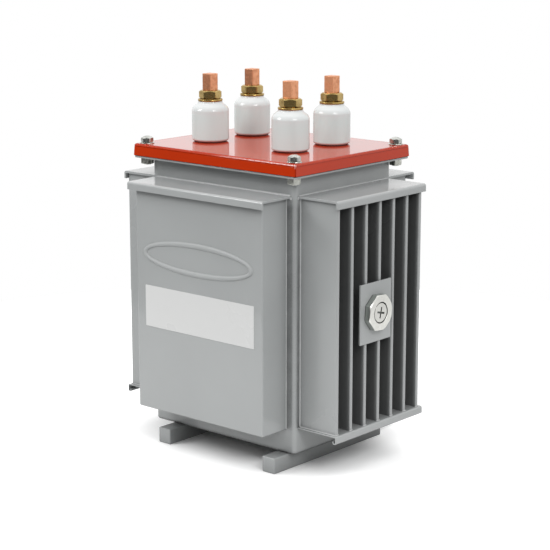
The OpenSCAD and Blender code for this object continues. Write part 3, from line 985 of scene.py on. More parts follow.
class Finishes:
    """The finishes of this object, set from the places of its nodes."""

    def __init__(self) -> None:
        """Fixes each finish's colour and gloss."""
        grey = (0.375, 0.388, 0.388)
        lid = Span.of("lid")
        banks = Span.of("left_radiator_fins", "right_radiator_fins")
        tank = Span.of("tank_shell", "tank_floor")
        cap = Span.of("front_box_cap")
        box = Span.of("front_box")
        bushing = Span.of("front_left_bushing")
        plug = Span.of("plug_nut")
        # painted shade in corners
        self.grey = Paint("grey_gloss", grey, roughness=0.2, coat=0.4, grime=0.45)
        # its faces turned upwards get a lighter grey in broad patches
        self.clean_grey = Paint(
            "grey_clean", grey, roughness=0.22, coat=0.4, grime=0.10, dusty=0.45,
            dust_colour=(0.50, 0.51, 0.51))
        # painted shade in corners, at full strength between the box's foot and the caps and near the tank's
        # foot
        self.tank = Paint(
            "grey_tank", grey, roughness=0.2, coat=0.4, grime=0.32, corner_shade_reach=0.08, deep=1.0,
            deep_band=(box.lo.z, cap.lo.z), foot=tank.lo.z)
        # painted shade in the fin gaps and in corners
        self.fins = FinPaint(
            "grey_fins", grey, roughness=0.24, coat=0.2, grime=0.7, corner_shade_reach=0.08,
            middle=(banks.mid.x, banks.mid.y),
            half_width=banks.size.y / 2, reach=banks.size.x / 2, tall=(banks.lo.z, banks.hi.z - 0.08))
        # welds in a lighter copy of the grey paint: a painted highlight on the beads
        self.weld = Paint("grey_weld", (0.45, 0.46, 0.46), roughness=0.22, peel=0.12)
        # painted shade round the foot of the oval rim
        self.emboss = Paint(
            "grey_emboss", (0.372, 0.385, 0.385), roughness=0.48, grime=0.7, corner_shade_reach=0.012)
        self.red = LidPaint(
            "red_gloss", (0.46, 0.029, 0.002), roughness=0.10, ior=1.22, coat=1.0, coat_ior=1.28,
            coat_roughness=0.03, peel=0.015, dusty=0.0, middle=(lid.mid.x, lid.mid.y),
            half=(lid.size.x / 2, lid.size.y / 2), top=lid.hi.z)
        self.porcelain = Glaze(
            "white_glaze", (0.67, 0.69, 0.69), roughness=0.2, coat=0.3, coat_roughness=0.1,
            foot=bushing.lo.z, shoulder=bushing.lo.z + 0.068)
        self.brass = Metal(
            "turned_brass", (0.60, 0.43, 0.16), roughness=0.22, metallic=0.92,
            tarnish=(0.28, 0.18, 0.05), stain_and_reflection=0.45, blotch=70.0, slot=Slot.BRASS)
        self.dull_brass = Metal(
            "dull_brass", (0.50, 0.35, 0.12), roughness=0.34, metallic=0.92,
            tarnish=(0.24, 0.15, 0.04), stain_and_reflection=0.5, blotch=70.0, slot=Slot.BRASS)
        self.copper = BarMetal(
            "sawn_copper", (0.88, 0.41, 0.22), roughness=0.40, metallic=0.5,
            tarnish=(0.50, 0.20, 0.09), stain_and_reflection=0.5, blotch=110.0, lines=0.15)
        self.zinc = Metal(
            "bright_zinc", (0.74, 0.75, 0.71), roughness=0.24, metallic=1.0,
            tarnish=(0.30, 0.31, 0.28), stain_and_reflection=0.6, blotch=190.0, lines=0.14)
        self.plug_zinc = FacedMetal(
            "plug_zinc", (0.87, 0.87, 0.825), roughness=0.38, metallic=1.0,
            tarnish=(0.74, 0.74, 0.70), stain_and_reflection=0.7, blotch=90.0, front=plug.hi.x, thick=plug.size.x,
            axis=(plug.mid.y, plug.mid.z))
        self.dull_zinc = NutMetal(
            "dull_zinc", (0.78, 0.79, 0.73), roughness=0.36, metallic=1.0,
            tarnish=(0.36, 0.36, 0.31), stain_and_reflection=0.6, blotch=150.0, lines=0.15,
            middle=(tank.mid.x, tank.mid.y))
        self.rubber = Rubber("gasket_rubber", (0.03, 0.03, 0.031), roughness=0.6)
        self.plate = Paint(
            "white_plate", (0.655, 0.66, 0.655), roughness=0.3, peel=0.02, dusty=0.0, cloudy=0.003)


@dataclass
class TankBody:
    """Folded tank with rounded corners and a rounded lower rim."""

    corner_r: float = 0.009
    rim_r: float = 0.006
    sheet: float = 0.005

    def build(self, finishes: Finishes) -> None:
        """Makes the tank, open at the top."""
        span = Span.of("tank_shell", "tank_floor")
        form = Form.block(span.lo, span.hi)
        form.ease(form.running(Axis.Z), self.corner_r, CORNER_STEPS)
        form.ease(form.level(Axis.Z, span.lo.z), self.rim_r, FOLD_STEPS)
        form.open(Axis.Z, span.hi.z).thicken(self.sheet)
        form.piece("tank_body", finishes.tank, ("tank_shell", "tank_floor"))


@dataclass
class MouthFlange:
    """Flat frame round the tank's mouth, with the gasket on it."""

    rim_x: float = 0.0295
    rim_y: float = 0.0335
    eased: float = 0.0008

    def plate(self, node: str) -> Form:
        """Frame-shaped plate in the place of a node."""
        span = Span.of(node)
        form = Form.block(span.lo, span.hi)
        flats = [face for face in form.bm.faces if abs(face.normal.z) > LEVEL]
        bmesh.ops.inset_individual(form.bm, faces=flats, thickness=self.rim_x, use_even_offset=True)
        inner = {vert for face in flats for vert in face.verts}
        gain = (span.size.y - 2 * self.rim_y) / (span.size.y - 2 * self.rim_x)
        bmesh.ops.scale(
            form.bm, vec=(1.0, gain, 1.0), verts=list(inner), space=Matrix.Translation(-span.mid))
        loops = [edge for face in flats for edge in face.edges]
        bmesh.ops.delete(form.bm, geom=flats, context="FACES_ONLY")
        bmesh.ops.bridge_loops(form.bm, edges=loops)
        return form.heal().ease_rims(self.eased)

    def build(self, finishes: Finishes) -> None:
        """Makes the flange and the gasket."""
        self.plate("tank_flange").piece("mouth_flange", finishes.grey, ("tank_flange",))
        self.plate("lid_gasket").piece("gasket_strip", finishes.rubber, ("lid_gasket",))


@dataclass
class PanLid:
    """Folded pan with a soft fold and an open seam at each corner."""

    draft: float = 0.0014
    fold_r: float = 0.004
    sheet: float = 0.004
    seam: float = 0.0019
    seam_depth: float = 0.0012
    seam_fall: float = 0.35

    def build(self, finishes: Finishes) -> None:
        """Makes the pan, its fold and its corner seams."""
        span = Span.of("lid")
        form = Form.block(span.lo, span.hi)
        bm = form.bm
        crown = [vert for vert in bm.verts if vert.co.z > span.mid.z]
        gain = [(side - 2 * self.draft) / side for side in span.size.xy]
        bmesh.ops.scale(bm, vec=(*gain, 1.0), verts=crown, space=Matrix.Translation(-span.mid))
        base = [face for face in bm.faces if face.normal.z < -LEVEL]
        bmesh.ops.inset_individual(bm, faces=base, thickness=self.sheet, use_even_offset=True)
        raised = bmesh.ops.extrude_discrete_faces(bm, faces=base)["faces"]
        bmesh.ops.translate(
            bm, vec=UP * (span.size.z - self.sheet), verts=[vert for face in raised for vert in face.verts])
        form.ease(form.level(Axis.Z, span.hi.z), self.fold_r, FOLD_STEPS)
        seams = form.bevelled(form.edges(lambda edge: self.on_corner(edge, span)), self.seam, 1, "EDGES")
        made = bmesh.ops.extrude_face_region(bm, geom=seams)["geom"]
        bmesh.ops.delete(bm, geom=[face for face in seams if face.is_valid], context="FACES")
        for vert in corners(made):
            away = (vert.co - span.mid).to_2d()
            fall = self.seam_fall if vert.co.z > span.mid.z else 0.0
            step = Vector((math.copysign(1.0, away.x), math.copysign(1.0, away.y), fall))
            vert.co -= step * self.seam_depth
        form.heal().piece("lid_pan", finishes.red, ("lid",))

    def on_corner(self, edge: Edge, span: Span) -> bool:
        """Whether an edge lies on the line where two sides of the pan meet."""
        gaps = [span.size / 2 - Vector(map(abs, vert.co - span.mid)) for vert in edge.verts]
        if any(abs(gap.x - gap.y) > TOUCH or gap.x > 3 * self.fold_r for gap in gaps):
            return False
        heights = [vert.co.z for vert in edge.verts]
        if max(heights) < span.hi.z - self.sheet / 2 - self.fold_r:
            return False
        return min(heights) > span.hi.z - self.fold_r - TOUCH or min(gap.x for gap in gaps) < TOUCH


@dataclass
class LidBolts:
    """Four domed bolts with washers above the lid and nuts below the flange."""

    flat: float = 0.0122
    corner_ease: float = 4.5
    head_turn: float = -19.0
    nut_flat: float = 0.0125
    dome_r: float = 0.020
    foot: float = 0.0014
    shank_r: float = 0.008
    shank_ease: float = 0.001
    washer_r: float = 0.0155
    washer_ease: Pair = (0.0006, 0.0012)
    nut_ease: float = 0.0012

    def head(self, height: float) -> Form:
        """Six-sided head with a domed top."""
        turns, sides = nut_outline(6, self.flat, self.corner_ease)
        rows = [ring(turns, [side - self.foot for side in sides], 0.0), ring(turns, sides, self.foot)]
        for share in (1.0, 0.96, 0.85, 0.65, 0.4, 0.2, 0.0):
            radii = [side * share for side in sides]
            rises = [math.sqrt(self.dome_r ** 2 - radius ** 2) for radius in radii]
            rows.append(ring(turns, radii, [height - self.dome_r + rise for rise in rises]))
        return Form.skin(rows).turn(Matrix.Rotation(math.radians(self.head_turn), 4, "Z"))

    def build(self, finishes: Finishes) -> None:
        """Makes heads, washers and nuts at the four corners."""
        washers, bolts, nuts = Span.of("lid_washers"), Span.of("lid_bolts"), Span.of("lid_nuts")
        inset = Vector((self.washer_r, self.washer_r, 0.0))
        lo, hi = washers.lo + inset, washers.hi - inset
        spots = [Vector((x, y, 0.0)) for x in (lo.x, hi.x) for y in (lo.y, hi.y)]
        thick = washers.size.z
        low_ease, high_ease = self.washer_ease
        washer = Form.lathe([
            (self.shank_r, 0.0, 0.0), (self.washer_r, 0.0, low_ease), (self.washer_r, thick, high_ease),
            (self.shank_r, thick, 0.0)], 64)
        washer.shift(UP * washers.lo.z).spread(spots)
        washer.piece("bolt_washers", finishes.zinc, ("lid_washers",))
        head = self.head(bolts.hi.z - washers.hi.z).shift(UP * washers.hi.z)
        low, high = bolts.lo.z, washers.hi.z
        shank = Form.lathe([
            (0.0, low, 0.0), (self.shank_r, low, self.shank_ease), (self.shank_r, high, 0.0),
            (0.0, high, 0.0)], 32)
        head.join(shank).spread(spots).piece("domed_bolts", finishes.zinc, ("lid_bolts",))
        nut = chamfered_nut(self.nut_flat, nuts.size.z, self.shank_r, self.nut_ease)
        nut.shift(UP * nuts.lo.z).spread(spots).piece("flange_nuts", finishes.dull_zinc, ("lid_nuts",))


def chamfered_nut(flat: float, height: float, bore_r: float, ease: float) -> Form:
    """Six-sided nut whose ends are cut by a shallow cone.

    Args:
        flat: Half the width across the flats.
        height: Height of the nut.
        bore_r: Radius of its bore.
        ease: How far the cone takes in the corners.

    Returns:
        The nut, standing on its lower end.
    """
    rim, least, slope = 0.0003, 0.0004, 0.58
    turns, sides = nut_outline(6, flat)
    crown = flat / math.cos(math.pi / 6) - ease
    caps = [min(side - rim, crown) for side in sides]
    drops = [least + max(0.0, side - crown) * slope + rim for side in sides]
    return Form.skin([
        ring(turns, bore_r, 0.0), ring(turns, caps, 0.0), ring(turns, sides, drops),
        ring(turns, sides, [height - drop for drop in drops]), ring(turns, caps, height),
        ring(turns, bore_r, height)])


@dataclass
class SkidPair:
    """Two square skid bars under the tank."""

    eased: float = 0.0022

    def build(self, finishes: Finishes) -> None:
        """Makes both bars with rounded edges."""
        for side in ("left", "right"):
            span = Span.of(f"{side}_skid")
            form = Form.block(span.lo, span.hi)
            form.ease(form.bm.edges[:], self.eased)
            form.piece(f"{side}_skid_bar", finishes.grey, (f"{side}_skid",))


@dataclass
class WallPart:
    """Sub-assembly on one wall of the tank, shaped along the wall's axes."""

    wall: Wall
    name: str
    cap_fold_r: float = 0.0055
    cap_sheet: float = 0.0050
    bead_r: float = 0.0024
    bead_bend: float = 0.006
    bead_drop: float = 0.0004
    bead_ripple: float = 0.22

    def span(self, node: str) -> Span:
        """Box of a CAD node in the wall's axes."""
        return Span.of(node, wall=self.wall)

    def put(self, form: Form, name: str, finish: Finish, *nodes: str) -> None:
        """Turns a form to the wall and makes it a piece; welds stand for no node."""
        crease = CREASE if nodes else WELD_CREASE
        form.turn(self.wall.matrix).piece(f"{self.name}_{name}", finish, nodes, crease)

    def cap(self, span: Span) -> Form:
        """Sheet whose outer edge is folded down into a lip."""
        lo, hi = span.lo, span.hi
        form = Form.bent_sheet(span, ((hi.x, lo.z), (hi.x, hi.z), (lo.x, hi.z)))
        form.ease(filter(is_fold, form.running(Axis.Y)), self.cap_fold_r, FOLD_STEPS)
        return form.finish_sheet(self.cap_sheet, span.mid)

    def cap_bead(self, cap: Span, radius: float) -> Form:
        """Weld along the back edge of a cap, turned down at both ends."""
        x, top = cap.lo.x + radius * 0.25, cap.hi.z + radius * 0.15
        left, right = cap.lo.y - radius * 0.2, cap.hi.y + radius * 0.2
        bend = self.bead_bend

        def end(edge: float, inward: float) -> Row:
            """Points from below one end of the cap up round the bend."""
            spots = [(edge, top - self.bead_drop - bend)]
            for a in (math.pi / 2 * i / FOLD_STEPS for i in range(FOLD_STEPS + 1)):
                spots.append((edge + inward * bend * (1 - math.cos(a)), top - bend * (1 - math.sin(a))))
            return [Vector((x, y, z)) for y, z in spots]

        level = [Vector((x, y, top)) for y in (left + bend + 0.002, right - bend - 0.002)]
        points = end(left, 1.0) + straight(*level) + end(right, -1.0)[::-1]
        return Form.rod(points, radius, self.bead_ripple)


@dataclass
class SideBox(WallPart):
    """Closed box on the front or back wall, with a lipped cap."""

    fold_r: float = 0.0032
    sheet: float = 0.003
    foot_share: float = 0.6
    side_share: float = 0.55
    weld_ripple: float = 0.3

    def build(self, finishes: Finishes) -> None:
        """Makes the box, its cap and the welds that hold them."""
        node, cap_node = f"{self.name}_box", f"{self.name}_box_cap"
        span, cap = self.span(node), self.span(cap_node)
        form = Form.block(span.lo, span.hi)
        form.open(Axis.X, span.lo.x).open(Axis.Z, span.hi.z)
        form.ease(form.edges(is_fold), self.fold_r, FOLD_STEPS).thicken(self.sheet)
        self.put(form, "folded_box", finishes.grey, node)
        self.put(self.cap(cap), "lipped_cap", finishes.clean_grey, cap_node)
        self.put(self.welds(span, cap), "box_welds", finishes.weld)

    def welds(self, span: Span, cap: Span) -> Form:
        """Beads where the cap and the box meet the tank."""
        form = self.cap_bead(cap, self.bead_r)
        foot = [Vector((span.lo.x + 0.0006, y, span.lo.z)) for y in (span.lo.y + 0.004, span.hi.y - 0.004)]
        form.weld(foot, self.bead_r * self.foot_share, self.weld_ripple)
        for y in (span.lo.y, span.hi.y):
            ends = [Vector((span.lo.x + 0.0004, y, z)) for z in (span.lo.z + 0.003, cap.hi.z - 0.006)]
            form.weld(ends, self.bead_r * self.side_share, self.weld_ripple)
        return form


@dataclass
class Radiator(WallPart):
    """Bank of fins between a lipped cap and a tray with a curled lip."""

    fins: int = 7
    fin_t: float = 0.009
    edge_r: float = 0.003
    tray_fold_r: float = 0.004
    tray_sheet: float = 0.0025
    curl_r: float = 0.0039
    curl_flat: float = 0.0012
    curl_rise: float = 0.0065
    weld_share: float = 0.7
    side_ripple: float = 0.25
    toe_share: float = 0.9
    toe_half: float = 0.0042
    toe_ripple: float = 0.2

    def build(self, finishes: Finishes) -> None:
        """Makes the fins, the cap, the tray and their welds."""
        nodes = [f"{self.name}_radiator_{part}" for part in ("fins", "cap", "tray")]
        bank, cap, tray = map(self.span, nodes)
        self.put(self.bank(bank), "fin_bank", finishes.fins, nodes[0])
        self.put(self.cap(cap), "rain_cap", finishes.grey, nodes[1])
        self.put(self.tray(tray), "curled_tray", finishes.grey, nodes[2])
        self.put(self.welds(bank, cap), "radiator_welds", finishes.weld)

    def places(self, bank: Span) -> list[float]:
        """Middles of the fins along the wall."""
        first, last = bank.lo.y + self.fin_t / 2, bank.hi.y - self.fin_t / 2
        return [first + (last - first) * i / (self.fins - 1) for i in range(self.fins)]

    def bank(self, span: Span) -> Form:
        """All fins, with rounded outer edges."""
        lo = Vector((span.lo.x, -self.fin_t / 2, span.lo.z))
        hi = Vector((span.hi.x, self.fin_t / 2, span.hi.z))
        form = Form.block(lo, hi)
        outer = [edge for edge in form.level(Axis.X, hi.x) if edge in form.running(Axis.Z)]
        form.ease(outer, self.edge_r, 5)
        return form.spread([Vector((0.0, y, 0.0)) for y in self.places(span)])

    def tray(self, span: Span) -> Form:
        """Sheet whose lip turns down, curls in and stands up again."""
        lo, hi = span.lo, span.hi
        inner = hi.x - 2 * self.curl_r - self.curl_flat
        form = Form.bent_sheet(span, (
            (inner, lo.z + self.curl_rise), (inner, lo.z), (hi.x, lo.z), (hi.x, hi.z), (lo.x, hi.z)))
        folds = filter(is_fold, form.running(Axis.Y))
        form.ease([edge for edge in folds if edge.verts[0].co.z < span.mid.z], self.curl_r, FOLD_STEPS)
        outer = [edge for edge in form.level(Axis.Z, hi.z) if lies_at(edge, Axis.X, hi.x)]
        form.ease(filter(is_fold, outer), self.tray_fold_r, FOLD_STEPS)
        return form.finish_sheet(self.tray_sheet, span.mid)

    def welds(self, bank: Span, cap: Span) -> Form:
        """Beads at the cap's back edge, the outer fins and the fins' feet."""
        small = self.bead_r * self.weld_share
        form = self.cap_bead(cap, small)
        for side, y in ((-1, bank.lo.y), (1, bank.hi.y)):
            edge = y + side * small * 0.2
            ends = [Vector((bank.lo.x + small * 0.2, edge, z)) for z in (bank.lo.z + 0.002, bank.hi.z)]
            form.weld(ends, small, self.side_ripple)
            foot = [Vector((x, edge, bank.lo.z + 0.0002)) for x in (bank.lo.x + 0.002, bank.hi.x - 0.003)]
            form.weld(foot, small, 0.0)
        x, z = bank.hi.x - 0.0008, bank.lo.z + 0.0004
        for y in self.places(bank):
            toe = [Vector((x, y + side * self.toe_half, z)) for side in (-1, 1)]
            form.weld(toe, small * self.toe_share, self.toe_ripple, 0.002)
        return form


@dataclass
class SightPlug:
    """Square plate with an eight-sided nut that holds a crossed disc."""

    flat: float = 0.037
    corner_ease: float = 1.2
    bevel: float = 0.0022
    slope: float = 0.75
    rim: float = 0.0005
    crest: float = 0.0007
    recess_r: float = 0.0227
    recess: float = 0.007
    disc_r: float = 0.0204
    cross: Pair = (0.0120, 0.0019)
    cross_depth: float = 0.003
    nut_turn: float = -5.0
    disc_turn: float = -14.0
    disc_steps: int = 96
    plate_r: float = 0.002
    plate_rim: float = 0.0007

    def nut(self, thick: float) -> Form:
        """Eight-sided nut with a recess, facing up the Z axis."""
        turns, sides = nut_outline(8, self.flat, self.corner_ease)
        crown = self.flat / math.cos(math.pi / 8) - self.bevel
        slopes = [thick - self.crest - max(0.0, side - crown) * self.slope for side in sides]
        rows = [
            ring(turns, [side - self.rim for side in sides], 0.0), ring(turns, sides, self.rim),
            ring(turns, sides, slopes),
            ring(turns, [min(side, crown) - self.crest for side in sides], thick),
            ring(turns, self.recess_r + self.rim, thick), ring(turns, self.recess_r, thick - self.rim),
            ring(turns, self.recess_r, thick - self.recess)]
        return Form.skin(rows).turn(self.facing(math.pi / 8 + math.radians(self.nut_turn)))

    def disc(self, thick: float) -> Form:
        """Round disc with a cross sunk into it, facing up the Z axis."""
        reach, half = self.cross
        corner = math.atan2(half, reach)
        turns = [math.tau * k / self.disc_steps for k in range(self.disc_steps)]
        for quarter in range(4):
            turns += [quarter * math.pi / 2 + side * corner for side in (-1, 1)]
        turns = sorted({round(turn % math.tau, 9) for turn in turns})
        arms = [self.arm(turn) for turn in turns]
        rows = [
            ring(turns, self.disc_r, 0.0), ring(turns, self.disc_r, thick - self.rim),
            ring(turns, self.disc_r - self.rim, thick), ring(turns, arms, thick),
            ring(turns, arms, thick - self.cross_depth)]
        return Form.skin(rows).turn(self.facing(math.radians(self.disc_turn)))

    def facing(self, turn: float) -> Matrix:
        """Turn on the axis, then from facing up to facing along X."""
        return Matrix.Rotation(math.pi / 2, 4, "Y") @ Matrix.Rotation(turn, 4, "Z")

    def arm(self, turn: float) -> float:
        """Distance from the middle of the cross to its outline."""
        reach, half = self.cross
        wide, high = abs(math.cos(turn)), abs(math.sin(turn))
        far, near = max(wide, high), min(wide, high)
        return min(reach / far, half / max(near, 1e-9))

    def build(self, finishes: Finishes) -> None:
        """Makes the plate, the nut and the disc."""
        plate = Span.of("plug_plate")
        form = Form.block(plate.lo, plate.hi)
        form.ease(form.running(Axis.X), self.plate_r).ease_rims(self.plate_rim)
        form.piece("plug_backplate", finishes.clean_grey, ("plug_plate",))
        nut = Span.of("plug_nut")
        disc = Span.of("plug_disc")
        for form, span, name, node in (
                (self.nut(nut.size.x), nut, "eight_sided_nut", "plug_nut"),
                (self.disc(disc.size.x), disc, "crossed_disc", "plug_disc")):
            spot = Vector((span.lo.x, nut.mid.y, nut.mid.z))
            form.shift(spot).piece(name, finishes.plug_zinc, (node,))


def dress_node(node: str, finish: Finish) -> None:
    """Gives a CAD node that stays in view its finish.

    Args:
        node: Name of the CAD node.
        finish: Finish that it is dressed in.
    """
    held = frame["nodes"][node]
    if held.material_slots:
        held.material_slots[0].material = finish.material()
    else:
        held.data.materials.append(finish.material())
    log.info("%s: kept from the frame", node)


@dataclass
class Bushing:
    """Porcelain bushing with its brass washer, brass nut and copper bar."""

    name: str
    bore_r: float = 0.01275
    neck_r: float = 0.0265
    corner_z: float = 0.0711
    neck_z: float = 0.0825
    foot_ease: float = 0.005
    shoulder_ease: float = 0.0066
    neck_ease: float = 0.0010
    top_ease: float = 0.0006
    nut_flat: float = 0.0215
    nut_ease: float = 0.0044
    nut_turn: float = -19.0
    bar_half: float = 0.0121
    washer_eased: float = 0.0026
    bar_eased: float = 0.0012
    stud_r: float = 0.0119
    uneven: float = 0.00022
    waves: Pair = (190.0, 420.0)
    fine_share: float = 0.6

    def build(self, finishes: Finishes) -> None:
        """Makes the four parts that stand on one axis."""
        body, ring_box, nut, terminal = (
            Span.of(f"{self.name}_{node}") for node in ("bushing", "washer", "nut", "terminal"))
        spot = Vector((body.mid.x, body.mid.y, 0.0))
        self.put(self.porcelain(body).shift(spot), "porcelain", finishes.porcelain, "bushing")
        rim, thick = ring_box.size.x / 2, ring_box.size.z
        washer = Form.lathe([
            (self.bore_r, 0.0, 0.0), (rim, 0.0, self.washer_eased), (rim, thick, self.washer_eased),
            (self.bore_r, thick, 0.0)])
        self.put(washer.shift(spot + UP * ring_box.lo.z), "brass_washer", finishes.dull_brass, "washer")
        turned = chamfered_nut(self.nut_flat, nut.size.z, self.bore_r, self.nut_ease)
        turned.turn(Matrix.Rotation(math.radians(self.nut_turn), 4, "Z")).shift(spot + UP * nut.lo.z)
        self.put(turned, "brass_nut", finishes.brass, "nut")
        self.put(self.bar(terminal, nut), "copper_bar", finishes.copper, "terminal")

    def put(self, form: Form, name: str, finish: Finish, node: str) -> None:
        """Makes a form the piece that stands for one of the bushing's nodes."""
        form.piece(f"{self.name}_{name}", finish, (f"{self.name}_{node}",))

    def porcelain(self, span: Span) -> Form:
        """Turned body with a soft foot, a round shoulder and a neck."""
        body_r, top = span.size.x / 2, span.size.z
        form = Form.lathe([
            (self.bore_r, 0.0, 0.0), (body_r, 0.0, self.foot_ease),
            (body_r, self.corner_z, self.shoulder_ease), (self.neck_r, self.neck_z, self.neck_ease),
            (self.neck_r, top, self.top_ease), (self.bore_r, top, 0.0)])
        return form.shift(UP * span.lo.z)

    def bar(self, span: Span, nut: Span) -> Form:
        """Square bar with rubbed, slightly uneven faces, on its stud."""
        half = Vector((self.bar_half, self.bar_half, 0.0))
        mid = Vector((span.mid.x, span.mid.y, 0.0))
        form = Form.block(mid - half + UP * nut.hi.z, mid + half + UP * span.hi.z)
        form.ease(form.bm.edges[:], self.bar_eased, 3)
        long_edges = form.edges(lambda edge: edge.calc_length() > 0.01)
        bmesh.ops.subdivide_edges(form.bm, edges=long_edges, cuts=10, use_grid_fill=True)
        for vert in form.bm.verts:
            coarse, fine = (noise.noise(vert.co * wave) for wave in self.waves)
            inward = (mid + UP * vert.co.z - vert.co).normalized()
            vert.co += inward * self.uneven * (1.0 + (coarse + self.fine_share * fine))
        low, high = nut.lo.z - 0.004, nut.hi.z + 0.002
        stud = Form.lathe([
            (0.0, low, 0.0), (self.stud_r, low, 0.0), (self.stud_r, high, 0.0), (0.0, high, 0.0)], 48)
        return form.join(stud.shift(mid))


@dataclass
class FrontFittings:
    """Raised oval rim and a bare white plate on the front box."""

    oval_z: float = 0.4319
    oval_half: Pair = (0.1566, 0.0364)
    oval_x: float = -0.002
    rim: float = 0.0122
    rise: float = 0.0031
    crest: float = 1.5
    sunk: float = 0.0002
    back: float = 0.0006
    plate_x: Pair = (-0.1535, 0.1565)
    plate_z: Pair = (0.270, 0.360)
    plate_t: float = 0.0007
    plate_back: float = 0.0003
    plate_r: float = 0.0015
    plate_rim: float = 0.0002

    def build(self, finishes: Finishes) -> None:
        """Makes the oval rim and the plate on the box's front."""
        box, tank = Span.of("front_box"), Span.of("tank_shell")
        face = Vector((tank.mid.x, box.lo.y, 0.0))
        self.oval(face + Vector((self.oval_x, 0.0, 0.0))).piece("oval_rim", finishes.emboss)
        lo = face + Vector((self.plate_x[0], -self.plate_t, self.plate_z[0]))
        hi = face + Vector((self.plate_x[1], self.plate_back, self.plate_z[1]))
        form = Form.block(lo, hi)
        form.ease(form.running(Axis.Y), self.plate_r).ease_rims(self.plate_rim)
        form.piece("bare_plate", finishes.plate)

    def oval(self, face: Vector) -> Form:
        """Oval ring with a rounded crest, standing on the front."""
        count, steps = 144, 16
        wide, high = self.oval_half
        rows: list[Row] = []
        for k in range(steps + 1):
            a = math.pi * k / steps
            inset = self.rim / 2 * (1 - math.cos(a))
            lift = self.rise * math.sin(a) ** self.crest - self.sunk
            rows.append([
                face + Vector((
                    (wide - inset) * math.cos(t), -lift, self.oval_z + (high - inset) * math.sin(t)))
                for t in (math.tau * i / count for i in range(count))])
        rows += [[point + Vector((0.0, self.back, 0.0)) for point in row] for row in (rows[-1], rows[0])]
        rows.append(list(rows[0]))
        form = Form.skin(rows)
        ends = [end for end in form.bm.faces if len(end.verts) == count]
        bmesh.ops.delete(form.bm, geom=ends, context="FACES_ONLY")
        return form.heal()


@dataclass(frozen=True)
class SoftLamp:
    """Square soft lamp that looks at the object's middle."""

    name: str
    spot: Triple
    power: float
    side: float = 0.75
    aim: Triple = (0.0, 0.0, 0.4)

    def build(self, scene: bpy.types.Scene) -> None:
        """Hangs the lamp in a scene."""
        data = bpy.data.lights.new(self.name, "AREA")
        data.size = self.side
        data.energy = self.power
        held = bpy.data.objects.new(self.name, data)
        held.location = self.spot
        aim = Vector(self.aim) - Vector(self.spot)
        held.rotation_euler = aim.to_track_quat("-Z", "Y").to_euler()
        scene.collection.objects.link(held)


